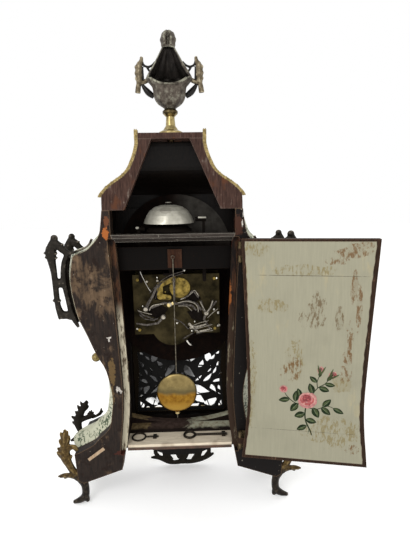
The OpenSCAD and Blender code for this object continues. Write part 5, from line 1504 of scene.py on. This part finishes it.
def spray(x, z, k, y):
    """A bloom with two buds on the right, a small open flower on the left and their leaves."""
    s = Shape()

    def at(u, v):
        return x + u * k, z + v * k

    for thick, tint, points in ((0.95, 1, ((0, 0), (-3, -18), (-2, -34), (5, -50), (8, -58))),
                                (0.5, 2, ((-2, -34), (3, -46), (2, -56))),
                                (0.6, 1, ((4, 6), (14, 20), (24, 27), (31, 36))),
                                (0.55, 1, ((14, 20), (13, 30), (17, 42))),
                                (0.6, 1, ((-3, -8), (-18, -6), (-30, 4), (-35, 12))),
                                (0.55, 1, ((-2, -12), (14, -14), (28, -8), (40, -12)))):
        stalk(s, [at(*q) for q in points], y - 0.05, thick * k, tint)
    for u0, v0, u1, v1, width in ((8, 10, 2, 27, 5), (16, 21, 31, 16, 4.6), (24, 27, 39, 25, 3.6),
                                  (13, 29, 2, 38, 3.8), (-14, -6, -25, -20, 5.4), (-18, -4, -17, 14, 4.8),
                                  (-26, 0, -43, -3, 4.4), (8, -12, 17, -28, 5.6), (20, -11, 34, -22, 4.8),
                                  (22, -10, 34, 3, 4.8), (37, -11, 53, -19, 4), (-3, -22, -19, -28, 5.4),
                                  (-2, -32, 14, -36, 4.8), (0, -42, -15, -50, 4.6), (-10, 4, -15, 18, 4)):
        leaf(s, at(u0, v0), at(u1, v1), width * k, y)
    bud(s, *at(31, 37), 50, 12 * k, y - 0.1)
    bud(s, *at(17, 43), 82, 11 * k, y - 0.1)
    rose(s, *at(0, 0), 14.5 * k, y - 0.3)
    rose(s, *at(-36, 16), 6.4 * k, y - 0.2, 1.1)
    return s


# Name, tone, roughness, metallic share, mottling, its size and the shine of tints 1 to 7 of the sprays
PETAL_LOOKS = (("leaf dark", (0.011, 0.02, 0.007), 0.7, 0, 0.5, 4, 0.1),
               ("leaf light", (0.05, 0.066, 0.026), 0.7, 0, 0.5, 4, 0.1),
               ("leaf rib", (0.12, 0.15, 0.08), 0.6),
               ("petal pale", (0.36, 0.14, 0.13), 0.6, 0, 0.35, 4),
               ("petal pink", (0.3, 0.052, 0.05), 0.6, 0, 0.3, 4),
               ("petal light", (0.42, 0.2, 0.17), 0.6, 0, 0.3, 4),
               ("petal deep", (0.15, 0.012, 0.016), 0.6, 0, 0.4, 3))


def make_door_paint():
    """The coat of paint inside the rear door, its spray of flowers, and four small sprays on the front."""
    panel = door_panel().turned(DOOR_OPEN, "Z", DOOR_HINGE)
    place("door_paint", panel, "rear_door", "door_cream")
    tints = [plain(*look) for look in PETAL_LOOKS]
    flowers = spray(4, 200, 1.0, DOOR_FACE - 0.31).turned(DOOR_OPEN, "Z", DOOR_HINGE)
    place("door_flowers", flowers, "rear_door", "door_cream", tints=tints)
    front = Shape()
    for side in (-1, 1):
        for x, z, k in ((128, 366, 0.42), (120, 84, 0.5)):
            front.join(spray(side * x, z, k, FRONT_Y - 0.14))
    place("front_flowers", front, "case", "front_paint", tints=tints)


make_door_paint()


# Camera, light and floor

CAMERA_PLACE = (-28.7, 655.7, 505.0)
CAMERA_YAW = 1.62
CAMERA_PITCH = 10.74
CAMERA_ROLL = 0.94
FOCAL_PIXELS = 411.0
PHOTO_HEIGHT = 547.0
SENSOR = 36


def make_camera():
    """Stands where the photograph was taken, behind the clock."""
    yaw, pitch, roll = (math.radians(a) for a in (CAMERA_YAW, CAMERA_PITCH, CAMERA_ROLL))
    around = Matrix(((math.cos(yaw), 0, -math.sin(yaw)), (0, 1, 0), (math.sin(yaw), 0, math.cos(yaw))))
    down = Matrix(((1, 0, 0), (0, math.cos(pitch), math.sin(pitch)), (0, -math.sin(pitch), math.cos(pitch))))
    lean = Matrix(((math.cos(roll), -math.sin(roll), 0), (math.sin(roll), math.cos(roll), 0), (0, 0, 1)))
    to_view = Matrix(((-1, 0, 0), (0, 0, 1), (0, -1, 0)))
    flip = Matrix(((1, 0, 0), (0, 1, 0), (0, 0, -1)))
    turned = (flip @ lean @ down @ around @ to_view).transposed()
    data = bpy.data.cameras.new("camera")
    data.sensor_width = SENSOR
    data.lens = SENSOR * FOCAL_PIXELS / PHOTO_HEIGHT
    data.clip_start = 0.01
    camera = bpy.data.objects.new("camera", data)
    bpy.context.scene.collection.objects.link(camera)
    camera.matrix_world = Matrix.Translation(Vector(CAMERA_PLACE) * MM) @ turned.to_4x4()
    bpy.context.scene.camera = camera


def make_stage():
    """A pale floor, white surroundings and two soft lights."""
    bpy.ops.mesh.primitive_plane_add(size=12, location=(0, 0, -0.0004))
    floor = bpy.context.object
    floor.name = "floor"
    f = Finish("floor", 0.9)
    f.shown = (0.86, 0.86, 0.855)
    f.set("Emission Color", (1, 1, 1))
    f.set("Emission Strength", 0.28)
    floor.data.materials.append(f.done())
    world = bpy.data.worlds.new("world")
    world.use_nodes = True
    background = world.node_tree.nodes["Background"]
    background.inputs["Color"].default_value = (1, 1, 1, 1)
    background.inputs["Strength"].default_value = 1.0
    bpy.context.scene.world = world
    bpy.context.scene.view_settings.view_transform = "Standard"
    for name, spot, aim, size, power in (
            ("key", (0.55, 1.15, 1.25), (0, 0, 0.35), 0.6, 9),
            ("fill", (-0.8, 1.0, 0.6), (0, 0, 0.3), 0.9, 2)):
        data = bpy.data.lights.new(name, "AREA")
        data.energy = power
        data.size = size
        light = bpy.data.objects.new(name, data)
        light.location = spot
        light.rotation_euler = (Vector(aim) - Vector(spot)).to_track_quat("-Z", "Y").to_euler()
        bpy.context.scene.collection.objects.link(light)


make_camera()
make_stage()
